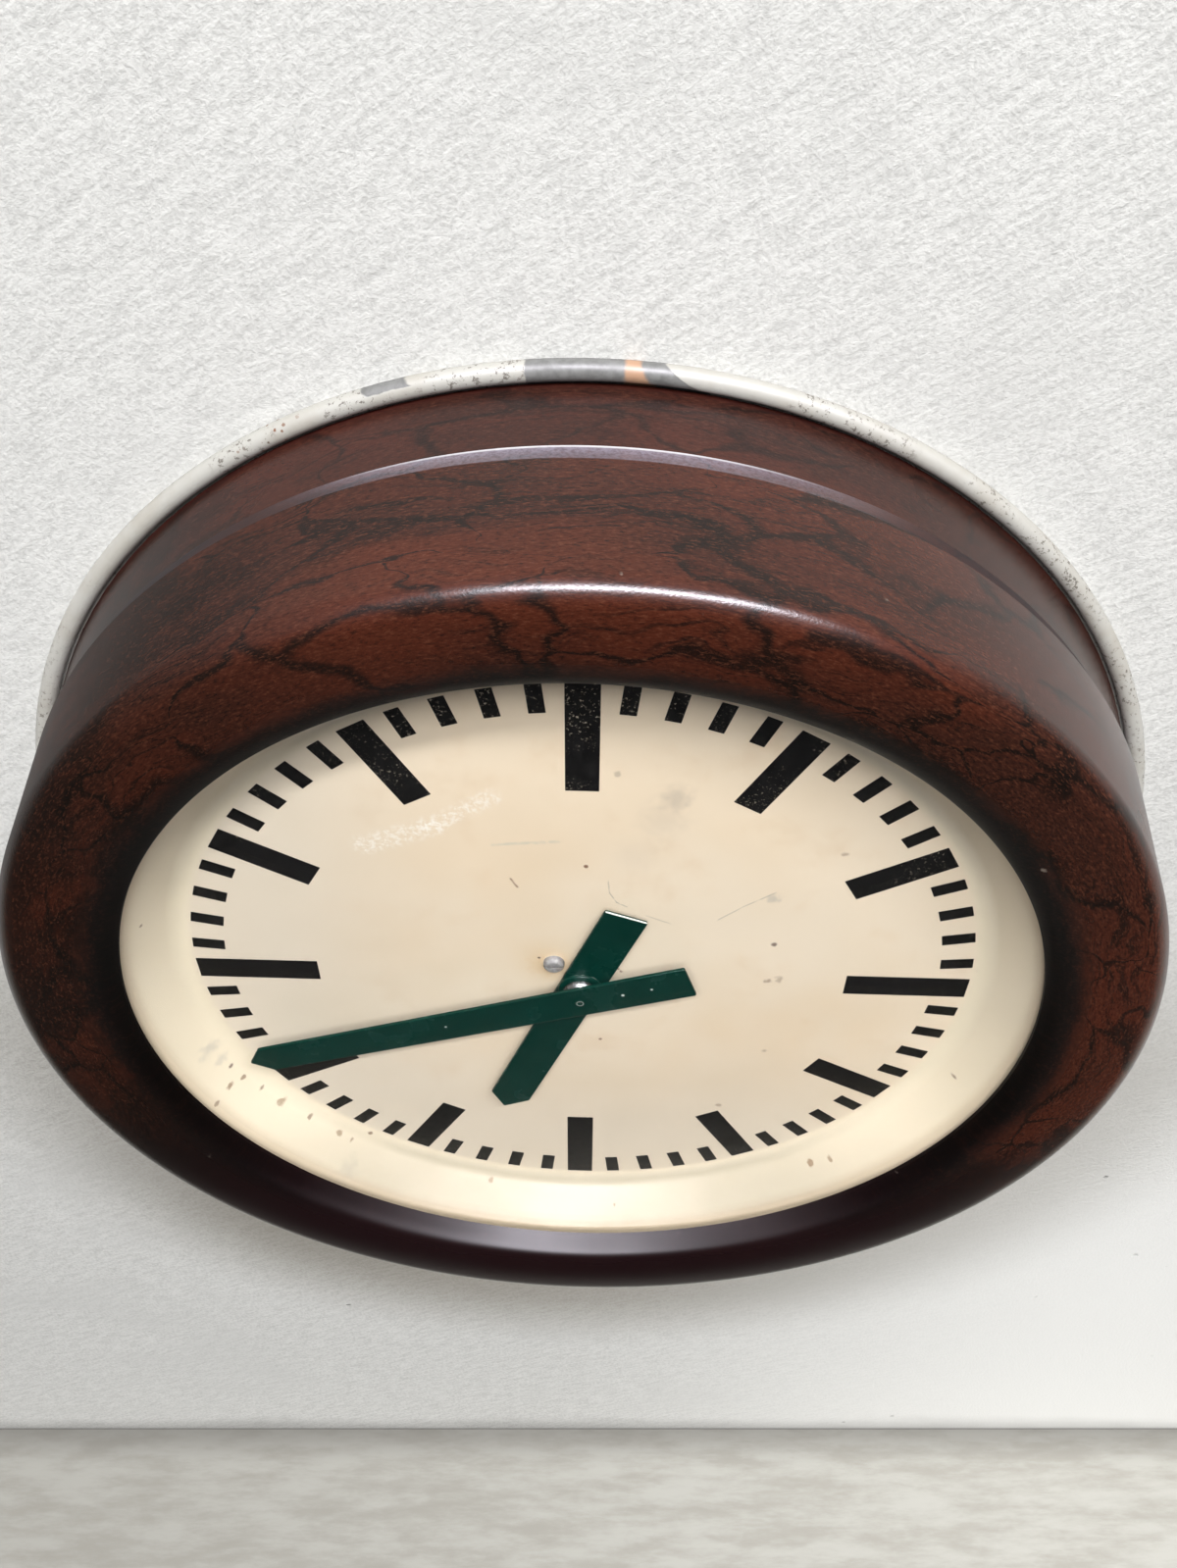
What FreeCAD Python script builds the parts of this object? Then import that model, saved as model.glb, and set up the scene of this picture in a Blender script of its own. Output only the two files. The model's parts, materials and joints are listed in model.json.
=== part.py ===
import FreeCAD, Part
import math
import os
from FreeCAD import Vector

# A round factory wall clock of the slave kind: a moulded case on a steel wall plate, a dished dial,
# two hands and an impulse movement. It is modelled lying on its back, with X to three o'clock,
# Y to twelve o'clock and Z out of the wall. Each piece is stood upright as it is saved: the dial then
# faces -Y, twelve o'clock is +Z, and the origin is on the hand axis at the wall.
# Lengths are in millimetres and angles in degrees.

# Clearances
press_gap = 0.02
running_gap = 0.04
thread_gap = 0.05
screw_gap = 0.2
loose_gap = 0.3
end_float = 0.2

# Dial opening, glass and bezel
opening_radius = 124.9
lip_nose = 1.2
lip_round = 9.0
lip_tilt = 65.0
glass_overlap = 5.3
glass_gap = 0.5
glass_thickness = 2.8
glass_edge_round = 0.4
gasket_thickness = 0.5
well_wall = 3.5
well_corner_round = 1.5
face_width = 21.1
face_drop = 7.0
crest_land = 8.05
front_round = 6.6
skirt_draft = 6.0
skirt_round = 1.2
rear_bevel_height = 7.8
rear_bevel_tilt = 9.0
skirt_mouth_round = 0.6
skirt_corner_round = 3.0
bezel_wall = 5.5
bezel_rear = 24.0
clip_boss_radius = 4.0
case_boss_radius = 4.5
case_boss_angle = 45.0
boss_room = 0.8
boss_root = 1.0
gusset_thickness = 3.0
gusset_setback = 2.0
web_setback = 1.0
hole_spare = 1.0
boss_count = 4

# Rear case
case_wall = 4.0
case_flare = 4.4
case_shoulder_inset = 1.15
spigot_inset = 1.6
spigot_height = 17.5
spigot_round = 1.0
spigot_end_room = 1.5
flange_thickness = 3.5
flange_round = 2.0
flange_land = 2.5
case_edge_round = 1.5
ledge_thickness = 4.2
ledge_height = 4.3
ledge_angle = 14.0

# Wall plate
plate_sheet = 1.2
bead_radius = 2.5
bead_room = 0.4
pan_height = 3.0
pan_slope = 4.0
pan_bend = 2.0
wall_hole_radius = 2.75
wall_hole_count = 3
wall_hole_margin = 5.65
pan_margin = 9.0
cable_hole_radius = 6.0
cable_bore_radius = 4.0
cable_edge_room = 18.25
grommet_flange = 2.5
grommet_lip = 1.5
grommet_round = 0.6

# Brackets on the wall plate
bracket_sheet = 1.5
bracket_foot = 15.0
bracket_width = 16.0
bracket_bend = 1.6
hook_lip = 6.0
hook_spread = 30.0
lug_height = 18.0
lock_screw_height = 11.0
lock_spot_depth = 1.6
rivet_radius = 1.5
rivet_head_radius = 2.8
rivet_head_height = 1.0
rivet_head_round = 0.8
rivet_pitch = 8.0

# Dial
dial_sheet = 0.8
dial_dish = 13.9
rim_width = 10.9
rim_top_room = 0.6
rim_foot_bend = 7.0
rim_top_bend = 1.2
dial_centre_room = 1.2
dial_screw_circle = 10.2
dial_screw_clock_angle = 311.0
clip_thickness = 1.0
clip_width = 10.0
clip_bite = 2.7
clip_corner = 1.5

# Hands and the time that they show
shown_hour = 6
minute_hand_clock_angle = 250.5
hand_sheet = 1.0
hand_corner = 0.6
hour_hand_height = 4.0
hour_hand_width = 12.5
hour_hand_reach = 67.9
hour_hand_tail = 34.2
minute_hand_height = 9.0
minute_hand_tip_width = 11.0
minute_hand_tail_width = 12.3
minute_hand_reach = 105.7
minute_hand_tail = 32.4
hand_tip_angle = 45.0
collet_radius = 5.0
collet_height = 2.0
collet_edge_round = 0.3
hand_washer_radius = 6.4
hand_washer_height = 0.8
hand_washer_round = 0.4
boss_base_radius = 5.0
boss_top_radius = 3.4
boss_rim_share = 0.3
boss_round_share = 0.2
hand_rivet_radius = 1.0

# Movement frame
movement_sheet = 1.5
plates_apart = 23.0
pillar_radius = 3.0
pillar_room = 2.5
plate_margin = 5.0
plate_corner = 5.0
dial_post_height = 3.2
dial_post_radius = 3.0
rear_room = 3.4

# Gears: stub involute teeth
pressure_angle = 25.0
addendum = 0.8
dedendum = 1.1
backlash = 0.12
wheel_thickness = 1.4
pinion_length = 3.1
intermediate_wheel_rise = 4.5
centre_wheel_rise = 11.5
rotor_module = 0.5
rotor_pinion_teeth = 10
intermediate_wheel_teeth = 60
centre_module = 0.6
intermediate_pinion_teeth = 10
centre_wheel_teeth = 50
motion_module = 0.5
cannon_teeth = 12
motion_wheel_teeth = 36
motion_pinion_teeth = 10
hour_wheel_teeth = 40
wheel_rim = 1.8
wheel_arm_width = 1.6
wheel_arms = 4
wheel_arm_angle = 45.0
wheel_hub_radius = 3.4
wheel_hub_length = 2.0

# Arbors and bearings
centre_arbor_radius = 1.5
intermediate_arbor_radius = 1.2
rotor_arbor_radius = 1.0
pivot_radius = 0.6
pipe_wall = 1.06
pipe_flange = 1.0
pipe_flange_length = 0.5
stud_radius = 1.0
stud_clip_width = 1.4
stud_clip_thickness = 0.5
bush_wall = 1.4
bush_flange = 0.8
bush_flange_length = 0.4

# Impulse motor
magnet_radius = 6.3
magnet_length = 8.0
pole_gap = 0.7
pole_slit_room = 0.8
pole_thickness = 5.0
pole_half_height = 6.0
limb_width = 9.0
limb_corner = 1.0
limb_end_room = 1.0
core_height = 8.0
core_thickness = 6.0
former_wall = 1.0
former_flange = 1.5
former_half_size = 11.0
winding_radius = 10.2
coil_room = 1.0
lead_radius = 0.8

# Terminal block
block_length = 30.0
block_width = 14.0
block_height = 9.0
block_corner = 1.5
block_well_radius = 3.9
block_well_depth = 3.5

# Screws: shank radius, head radius, head height
small_screw = (1.5, 3.0, 2.0)
case_screw = (2.0, 4.0, 2.6)
slot_share = 0.22
slot_depth_share = 0.45
point_round_share = 0.4
head_round_share = 0.6
case_screw_length = 16.0
clip_screw_length = 6.0
plate_screw_length = 6.0
terminal_screw_length = 4.0
core_screw_length = 9.0

# Levels above the wall, from the wall plate through the movement to the bezel's crest
pan_front = pan_height + plate_sheet
block_rear = pan_front + rear_room
rear_plate_back = block_rear + block_height
rear_plate_front = rear_plate_back + movement_sheet
front_plate_back = rear_plate_front + plates_apart
front_plate_front = front_plate_back + movement_sheet
dial_back = front_plate_front + dial_post_height
dial_face = dial_back + dial_sheet
dial_flange_front = dial_face + dial_dish
dial_flange_back = dial_flange_front - dial_sheet
glass_front = dial_flange_front + glass_thickness
rebate_level = glass_front + gasket_thickness
lip_level = rebate_level + lip_nose
bezel_front = lip_level + face_drop
case_flange_front = bezel_rear + spigot_height
case_flange_back = case_flange_front - flange_thickness
hour_hand_front = dial_face + hour_hand_height
hour_hand_back = hour_hand_front - hand_sheet
minute_hand_front = dial_face + minute_hand_height
minute_hand_back = minute_hand_front - hand_sheet

# Levels of the wheels, from the plate that each group stands nearest to
hour_wheel_front = front_plate_back - bush_flange_length - end_float
hour_wheel_back = hour_wheel_front - wheel_thickness
motion_pinion_front = front_plate_back - end_float
motion_pinion_back = hour_wheel_back - wheel_thickness
motion_wheel_back = motion_pinion_back - wheel_thickness
cannon_front = hour_wheel_back - pipe_flange_length - end_float
cannon_back = motion_wheel_back - end_float
intermediate_wheel_back = rear_plate_front + intermediate_wheel_rise
rotor_pinion_back = intermediate_wheel_back + wheel_thickness / 2 - pinion_length / 2
centre_wheel_back = rear_plate_front + centre_wheel_rise
intermediate_pinion_back = centre_wheel_back + wheel_thickness / 2 - pinion_length / 2
pole_back = centre_wheel_back
pole_front = pole_back + pole_thickness
magnet_back = pole_back + pole_thickness / 2 - magnet_length / 2
core_back = pole_back - core_thickness
coil_level = pole_back - core_thickness / 2

# Radii of the case, from the opening outwards
glass_radius = opening_radius + glass_overlap
well_radius = glass_radius + glass_gap
rim_top_radius = opening_radius + rim_top_room
dial_flat_radius = rim_top_radius - rim_width
crest_radius = opening_radius + face_width
clip_circle = well_radius + well_wall + clip_boss_radius + boss_room
bezel_corner_radius = crest_radius + crest_land
skirt_slope = math.tan(math.radians(skirt_draft))
bevel_slope = math.tan(math.radians(rear_bevel_tilt))
bevel_level = bezel_rear + rear_bevel_height
bevel_radius = bezel_corner_radius + (bezel_front - bevel_level) * skirt_slope
bezel_rear_radius = bevel_radius - rear_bevel_height * bevel_slope
spigot_radius = bezel_corner_radius - spigot_inset
case_screw_circle = spigot_radius - case_wall - flange_round - case_screw[1] - loose_gap
flange_inner_radius = case_screw_circle - case_screw[1] - flange_land
case_shoulder_radius = bezel_rear_radius - case_shoulder_inset
case_base_radius = case_shoulder_radius + case_flare
case_inner_rear = case_base_radius - case_wall
case_inner_shoulder = case_shoulder_radius - case_wall
bead_circle = case_base_radius + bead_room + bead_radius
wall_hole_circle = flange_inner_radius - wall_hole_margin
pan_radius = wall_hole_circle - wall_hole_radius - pan_margin
cable_entry_drop = pan_radius - cable_edge_room

# Gear sizes and the places of the arbors
motion_centres = motion_module * (cannon_teeth + motion_wheel_teeth) / 2
hour_module = 2 * motion_centres / (motion_pinion_teeth + hour_wheel_teeth)
centre_centres = centre_module * (intermediate_pinion_teeth + centre_wheel_teeth) / 2
rotor_centres = rotor_module * (rotor_pinion_teeth + intermediate_wheel_teeth) / 2
motion_place = (0.0, motion_centres)
intermediate_place = (0.0, -centre_centres)
rotor_place = (0.0, -centre_centres - rotor_centres)
centre_wheel_pitch = centre_module * centre_wheel_teeth / 2
intermediate_wheel_pitch = rotor_module * intermediate_wheel_teeth / 2
widest_wheel = max(centre_wheel_pitch, intermediate_wheel_pitch) + centre_module
pillar_x = widest_wheel + pillar_radius + pillar_room
upper_pillar_y = motion_centres + motion_module * motion_wheel_teeth / 2
lower_pillar_y = rotor_place[1] - pole_half_height
pillar_places = [(-pillar_x, upper_pillar_y), (pillar_x, upper_pillar_y)]
limb_places = [(-pillar_x, lower_pillar_y), (pillar_x, lower_pillar_y)]
plate_top = upper_pillar_y + plate_margin
plate_bottom = lower_pillar_y - plate_margin
plate_half_width = pillar_x + plate_margin
coil_y = plate_bottom - coil_room - former_half_size
limb_inner = pillar_x - limb_width / 2
limb_outer = pillar_x + limb_width / 2
former_half_length = limb_inner - loose_gap
core_screw_places = [(-pillar_x, coil_y), (pillar_x, coil_y)]
block_y = (upper_pillar_y + pivot_radius + bush_wall + loose_gap) / 2 + loose_gap
terminal_x = block_length / 2 - block_well_radius - block_corner
pipe_bore = centre_arbor_radius + running_gap
pipe_radius = pipe_bore + pipe_wall
dial_screw_angle = 90.0 - dial_screw_clock_angle
dial_screw_places = [
    (
        dial_screw_circle * math.cos(math.radians(dial_screw_angle + half)),
        dial_screw_circle * math.sin(math.radians(dial_screw_angle + half)),
    )
    for half in (0.0, 180.0)
]
minute_hand_turn = -minute_hand_clock_angle
hour_hand_turn = -360.0 * shown_hour / 12 - minute_hand_clock_angle / 12
origin = Vector(0, 0, 0)
z_axis = Vector(0, 0, 1)
x_axis = Vector(1, 0, 0)


def line(start, end):
    return Part.LineSegment(start, end).toShape()


def flat_point(point):
    return Vector(point[0], point[1], 0)


def section_point(point):
    return Vector(point[0], 0, point[1])


def side_point(point):
    return Vector(0, point[0], point[1])


def rounded_edges(points, place):
    # A run of straight edges; a point with a third value has that corner radius.
    edges = []
    start = place(points[0])
    for before, corner, after in zip(points, points[1:], points[2:]):
        here = place(corner)
        first = here
        if len(corner) > 2:
            to_before = (place(before) - here).normalize()
            to_after = (place(after) - here).normalize()
            half_angle = to_before.getAngle(to_after) / 2
            reach = corner[2] / math.tan(half_angle)
            first = here + to_before * reach
            last = here + to_after * reach
            centre = here + (to_before + to_after).normalize() * (corner[2] / math.sin(half_angle))
            middle = centre + (here - centre).normalize() * corner[2]
        edges.append(line(start, first))
        start = first
        if len(corner) > 2:
            edges.append(Part.Arc(first, middle, last).toShape())
            start = last
    edges.append(line(start, place(points[-1])))
    return edges


def face_of(points, place):
    return Part.Face(Part.Wire(rounded_edges(points + [points[0][:2]], place)))


def turned(points, sweep=360):
    return face_of(points, section_point).revolve(origin, z_axis, sweep)


def flat_plate(points, bottom, top):
    plate = face_of(points, flat_point).extrude(Vector(0, 0, top - bottom))
    plate.translate(Vector(0, 0, bottom))
    return plate


def bent_strip(points, width):
    strip = face_of(points, side_point).extrude(Vector(width, 0, 0))
    strip.translate(Vector(-width / 2, 0, 0))
    return strip


def disc(radius, bottom, top, place=(0.0, 0.0)):
    return Part.makeCylinder(radius, top - bottom, Vector(place[0], place[1], bottom))


def ring(outer, inner, bottom, top, place=(0.0, 0.0)):
    return disc(outer, bottom, top, place).cut(disc(inner, bottom, top, place))


def box(low, high):
    size = [b - a for a, b in zip(low, high)]
    return Part.makeBox(size[0], size[1], size[2], Vector(*low))


def moved(shape, x, y, z):
    copy = shape.copy()
    copy.translate(Vector(x, y, z))
    return copy


def spun(shape, angle):
    copy = shape.copy()
    copy.rotate(origin, z_axis, angle)
    return copy


def spread(shape, count, first_angle=0.0):
    return [spun(shape, first_angle + 360.0 * index / count) for index in range(count)]


def at_places(shape, places):
    return [moved(shape, place[0], place[1], 0) for place in places]


def rounded_box_points(left, bottom, right, top, corner):
    return [
        ((left + right) / 2, bottom),
        (right, bottom, corner),
        (right, top, corner),
        (left, top, corner),
        (left, bottom, corner),
    ]


def screw(sizes, length):
    # Pan head above the seat at z = 0, shank below it.
    shank_radius, head_radius, head_height = sizes
    body = turned([
        (0, -length),
        (shank_radius, -length, shank_radius * point_round_share),
        (shank_radius, 0),
        (head_radius, 0),
        (head_radius, head_height, head_height * head_round_share),
        (0, head_height),
    ])
    slot = head_radius * slot_share
    depth = head_height * slot_depth_share
    return body.cut(box((-head_radius, -slot / 2, head_height - depth), (head_radius, slot / 2, head_height)))


def upside_down(shape):
    copy = shape.copy()
    copy.rotate(origin, x_axis, 180)
    return copy


def tip_radius(teeth, module):
    return module * (teeth / 2 + addendum)


def gear(teeth, module, bottom, top, phase):
    # Involute flanks as arcs through three points; the phase is the angle of one tooth's centre.
    pitch = module * teeth / 2
    base = pitch * math.cos(math.radians(pressure_angle))
    tip = tip_radius(teeth, module)
    root = pitch - dedendum * module
    foot = max(base, root)
    half_at_pitch = (math.pi * module - backlash) / (4 * pitch)

    def involute(radius):
        angle = math.acos(min(1.0, base / radius))
        return math.tan(angle) - angle

    def flank_point(radius, centre, side):
        half = half_at_pitch + involute(pitch) - involute(radius)
        angle = centre + side * half
        return Vector(radius * math.cos(angle), radius * math.sin(angle), 0)

    def root_point(centre, side):
        half = half_at_pitch + involute(pitch) - involute(foot)
        angle = centre + side * half
        return Vector(root * math.cos(angle), root * math.sin(angle), 0)

    edges = []
    for index in range(teeth):
        centre = math.radians(phase) + 2 * math.pi * index / teeth
        after = centre + 2 * math.pi / teeth
        rising = [flank_point(radius, centre, -1) for radius in (foot, (foot + tip) / 2, tip)]
        falling = [flank_point(radius, centre, 1) for radius in (tip, (foot + tip) / 2, foot)]
        if base > root:
            edges.append(line(root_point(centre, -1), rising[0]))
        edges.append(Part.Arc(*rising).toShape())
        edges.append(line(rising[2], falling[0]))
        edges.append(Part.Arc(*falling).toShape())
        if base > root:
            edges.append(line(falling[2], root_point(centre, 1)))
        edges.append(line(root_point(centre, 1), root_point(after, -1)))
    solid = Part.Face(Part.Wire(edges)).extrude(Vector(0, 0, top - bottom))
    solid.translate(Vector(0, 0, bottom))
    return solid


def mesh_phase(driver_teeth, driver_phase, driver_place, driven_teeth, driven_place):
    # Turns the driven gear so that its gap meets the driver's tooth on the line of centres.
    towards = math.degrees(math.atan2(driven_place[1] - driver_place[1], driven_place[0] - driver_place[0]))
    short_of_line = towards - driver_phase
    return towards + 180.0 + 180.0 / driven_teeth + short_of_line * driver_teeth / driven_teeth


def wheel_windows(root_radius, bottom, top):
    # Openings between the arms of a wheel.
    inner = wheel_hub_radius + wheel_rim / 2
    outer = root_radius - wheel_rim
    band = ring(outer, inner, bottom, top)
    arm = box((0, -wheel_arm_width / 2, bottom), (outer, wheel_arm_width / 2, top))
    return band.cut(Part.makeCompound(spread(arm, wheel_arms, wheel_arm_angle)))


def arm_wheel(teeth, module, bottom, phase, bore):
    top = bottom + wheel_thickness
    wheel = gear(teeth, module, bottom, top, phase)
    wheel = wheel.cut(wheel_windows(module * (teeth / 2 - dedendum), bottom, top))
    return wheel.cut(disc(bore, bottom, top))


def arbor(radius, places_of_shoulders, pivots):
    # A plain arbor with a thinner pivot at each end.
    low_shoulder, high_shoulder = places_of_shoulders
    low_end, high_end = pivots
    return turned([
        (0, low_end),
        (pivot_radius, low_end),
        (pivot_radius, low_shoulder),
        (radius, low_shoulder),
        (radius, high_shoulder),
        (pivot_radius, high_shoulder),
        (pivot_radius, high_end),
        (0, high_end),
    ])


shoulder_levels = (
    rear_plate_front + bush_flange_length + end_float,
    front_plate_back - bush_flange_length - end_float,
)
pivot_levels = (rear_plate_back + end_float, front_plate_front - end_float)
bush_radius = pivot_radius + running_gap + bush_wall
centre_phase = 0.0
cannon_phase = 0.0
intermediate_phase = mesh_phase(
    centre_wheel_teeth, centre_phase, (0.0, 0.0), intermediate_pinion_teeth, intermediate_place)
rotor_phase = mesh_phase(
    intermediate_wheel_teeth, intermediate_phase, intermediate_place, rotor_pinion_teeth, rotor_place)
motion_phase = mesh_phase(cannon_teeth, cannon_phase, (0.0, 0.0), motion_wheel_teeth, motion_place)
hour_phase = mesh_phase(motion_pinion_teeth, motion_phase, motion_place, hour_wheel_teeth, (0.0, 0.0))


# Wall plate and its brackets

def bracket_rivet_places():
    hook_rivet = hook_leg_outer - bracket_sheet - bracket_foot / 2
    lug_rivet = lug_leg_outer - bracket_sheet - bracket_foot / 2
    places = []
    for angle, circle in ((90 - hook_spread, hook_rivet), (90 + hook_spread, hook_rivet), (270, lug_rivet)):
        for side in (-rivet_pitch / 2, rivet_pitch / 2):
            turn = math.radians(angle)
            across = (-math.sin(turn), math.cos(turn))
            places.append((
                circle * math.cos(turn) + side * across[0],
                circle * math.sin(turn) + side * across[1],
            ))
    return places


def case_inner_at(level):
    share = (level - plate_sheet) / (bezel_rear - case_wall - plate_sheet)
    return case_inner_rear + (case_inner_shoulder - case_inner_rear) * share


def case_outer_at(level):
    share = (level - plate_sheet) / (bezel_rear - plate_sheet)
    return case_base_radius + (case_shoulder_radius - case_base_radius) * share


ledge_back = plate_sheet + ledge_height
ledge_front = ledge_back + ledge_thickness
hook_leg_outer = case_inner_at(ledge_front) - hook_lip - bracket_bend
ledge_inner_radius = math.hypot(hook_leg_outer, bracket_width / 2) + loose_gap
hook_lip_back = ledge_front + loose_gap
lug_leg_outer = math.sqrt(case_inner_at(lug_height) ** 2 - (bracket_width / 2) ** 2) - loose_gap
lock_seat = case_outer_at(lock_screw_height) - lock_spot_depth


def wall_plate():
    bead_meets_sheet = bead_circle - math.sqrt(bead_radius ** 2 - (bead_radius - plate_sheet) ** 2)
    back = rounded_edges([
        (0, pan_height),
        (pan_radius, pan_height, pan_bend),
        (pan_radius + pan_slope, 0, pan_bend),
        (bead_circle, 0),
    ], section_point)
    bead = Part.Arc(
        section_point((bead_circle, 0)),
        section_point((bead_circle + bead_radius, bead_radius)),
        section_point((bead_meets_sheet, plate_sheet)),
    ).toShape()
    front = rounded_edges([
        (bead_meets_sheet, plate_sheet),
        (pan_radius + pan_slope, plate_sheet, pan_bend),
        (pan_radius, pan_front, pan_bend),
        (0, pan_front),
    ], section_point)
    axis_edge = line(section_point((0, pan_front)), section_point((0, pan_height)))
    plate = Part.Face(Part.Wire(back + [bead] + front + [axis_edge])).revolve(origin, z_axis, 360)
    wall_hole = disc(wall_hole_radius, 0, plate_sheet, (wall_hole_circle, 0))
    holes = spread(wall_hole, wall_hole_count, 90.0)
    holes.append(disc(cable_hole_radius, 0, pan_front, (0, -cable_entry_drop)))
    holes += at_places(disc(rivet_radius + press_gap, 0, plate_sheet), bracket_rivet_places())
    return plate.cut(Part.makeCompound(holes))


def cable_grommet():
    neck = cable_hole_radius - press_gap
    flange = cable_hole_radius + grommet_flange
    low = pan_height - grommet_lip
    high = pan_front + grommet_lip
    grommet = turned([
        (cable_bore_radius, low),
        (flange, low, grommet_round),
        (flange, pan_height),
        (neck, pan_height),
        (neck, pan_front),
        (flange, pan_front),
        (flange, high, grommet_round),
        (cable_bore_radius, high),
    ])
    return moved(grommet, 0, -cable_entry_drop, 0)


def hanging_hooks():
    foot_end = hook_leg_outer - bracket_sheet - bracket_foot
    leg_inner = hook_leg_outer - bracket_sheet
    lip_end = hook_leg_outer + hook_lip
    lip_front = hook_lip_back + bracket_sheet
    hook = bent_strip([
        (foot_end, plate_sheet),
        (hook_leg_outer, plate_sheet, bracket_bend),
        (hook_leg_outer, hook_lip_back),
        (lip_end, hook_lip_back),
        (lip_end, lip_front),
        (leg_inner, lip_front, bracket_bend),
        (leg_inner, plate_sheet + bracket_sheet),
        (foot_end, plate_sheet + bracket_sheet),
    ], bracket_width)
    rivet_hole = disc(rivet_radius + press_gap, 0, hook_lip_back)
    hooks = []
    for angle in (-hook_spread, hook_spread):
        holed = spun(hook, angle).cut(Part.makeCompound(at_places(rivet_hole, bracket_rivet_places())))
        hooks.append(holed)
    return hooks


def lock_lug():
    foot_end = lug_leg_outer - bracket_sheet - bracket_foot
    leg_inner = lug_leg_outer - bracket_sheet
    lug = bent_strip([
        (-foot_end, plate_sheet),
        (-lug_leg_outer, plate_sheet, bracket_bend),
        (-lug_leg_outer, lug_height),
        (-leg_inner, lug_height),
        (-leg_inner, plate_sheet + bracket_sheet),
        (-foot_end, plate_sheet + bracket_sheet),
    ], bracket_width)
    rivet_hole = disc(rivet_radius + press_gap, 0, plate_sheet + bracket_sheet)
    lug = lug.cut(Part.makeCompound(at_places(rivet_hole, bracket_rivet_places())))
    thread = Part.makeCylinder(
        case_screw[0] + thread_gap, case_base_radius, Vector(0, 0, lock_screw_height), Vector(0, -1, 0))
    return lug.cut(thread)


def plate_rivets():
    seat = plate_sheet + bracket_sheet
    rivet = turned([
        (0, 0),
        (rivet_radius, 0),
        (rivet_radius, seat),
        (rivet_head_radius, seat),
        (rivet_head_radius, seat + rivet_head_height, rivet_head_round),
        (0, seat + rivet_head_height),
    ])
    return at_places(rivet, bracket_rivet_places())


def lock_screw():
    length = lock_seat - lug_leg_outer + 2 * bracket_sheet
    piece = screw(case_screw, length)
    piece.rotate(origin, x_axis, 90)
    return moved(piece, 0, -lock_seat, lock_screw_height)


# Moulded case

def rear_case():
    inner_spigot = spigot_radius - case_wall
    case = turned([
        (case_inner_rear, plate_sheet),
        (case_base_radius, plate_sheet, case_edge_round),
        (case_shoulder_radius, bezel_rear),
        (spigot_radius, bezel_rear),
        (spigot_radius, case_flange_front, spigot_round),
        (flange_inner_radius, case_flange_front),
        (flange_inner_radius, case_flange_back),
        (inner_spigot, case_flange_back, flange_round),
        (inner_spigot, bezel_rear + case_wall),
        (case_inner_shoulder, bezel_rear - case_wall),
    ])
    ledge = turned([
        (ledge_inner_radius, ledge_back),
        (case_inner_rear + case_wall / 4, ledge_back),
        (case_inner_at(ledge_front) + case_wall / 4, ledge_front),
        (ledge_inner_radius, ledge_front),
    ], ledge_angle)
    for angle in (90 - hook_spread, 90 + hook_spread):
        case = case.fuse(spun(ledge, angle - ledge_angle / 2))
    screw_hole = disc(case_screw[0] + screw_gap, case_flange_back, case_flange_front, (case_screw_circle, 0))
    lock_hole = Part.makeCylinder(
        case_screw[0] + screw_gap, case_base_radius, Vector(0, 0, lock_screw_height), Vector(0, -1, 0))
    lock_spot_radius = case_screw[1] + screw_gap
    lock_spot = Part.makeCylinder(
        lock_spot_radius, case_base_radius, Vector(0, -lock_seat, lock_screw_height), Vector(0, -1, 0))
    screw_holes = spread(screw_hole, boss_count, case_boss_angle)
    return case.cut(Part.makeCompound(screw_holes + [lock_hole.fuse(lock_spot)]))


def bezel_front_edges():
    # Two arcs: a tight one that turns the lip into the opening, and a wide one that runs level at the crest.
    lip_end = math.radians(lip_tilt)
    lip_reach = face_width - lip_round * math.sin(lip_end)
    lip_rise = face_drop - lip_round * (1 - math.cos(lip_end))
    meeting = 2 * math.atan2(lip_rise, lip_reach)
    lip_centre = (opening_radius + lip_round * math.sin(lip_end), lip_level - lip_round * math.cos(lip_end))
    face_round = (crest_radius - lip_centre[0]) / math.sin(meeting) + lip_round
    face_centre = (crest_radius, bezel_front - face_round)

    def on_arc(centre, radius, tilt):
        return section_point((centre[0] - radius * math.sin(tilt), centre[1] + radius * math.cos(tilt)))

    edges = []
    for centre, radius, first, last in (
        (lip_centre, lip_round, lip_end, meeting),
        (face_centre, face_round, meeting, 0.0),
    ):
        tilts = (first, (first + last) / 2, last)
        edges.append(Part.Arc(*[on_arc(centre, radius, tilt) for tilt in tilts]).toShape())
    return edges


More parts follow.
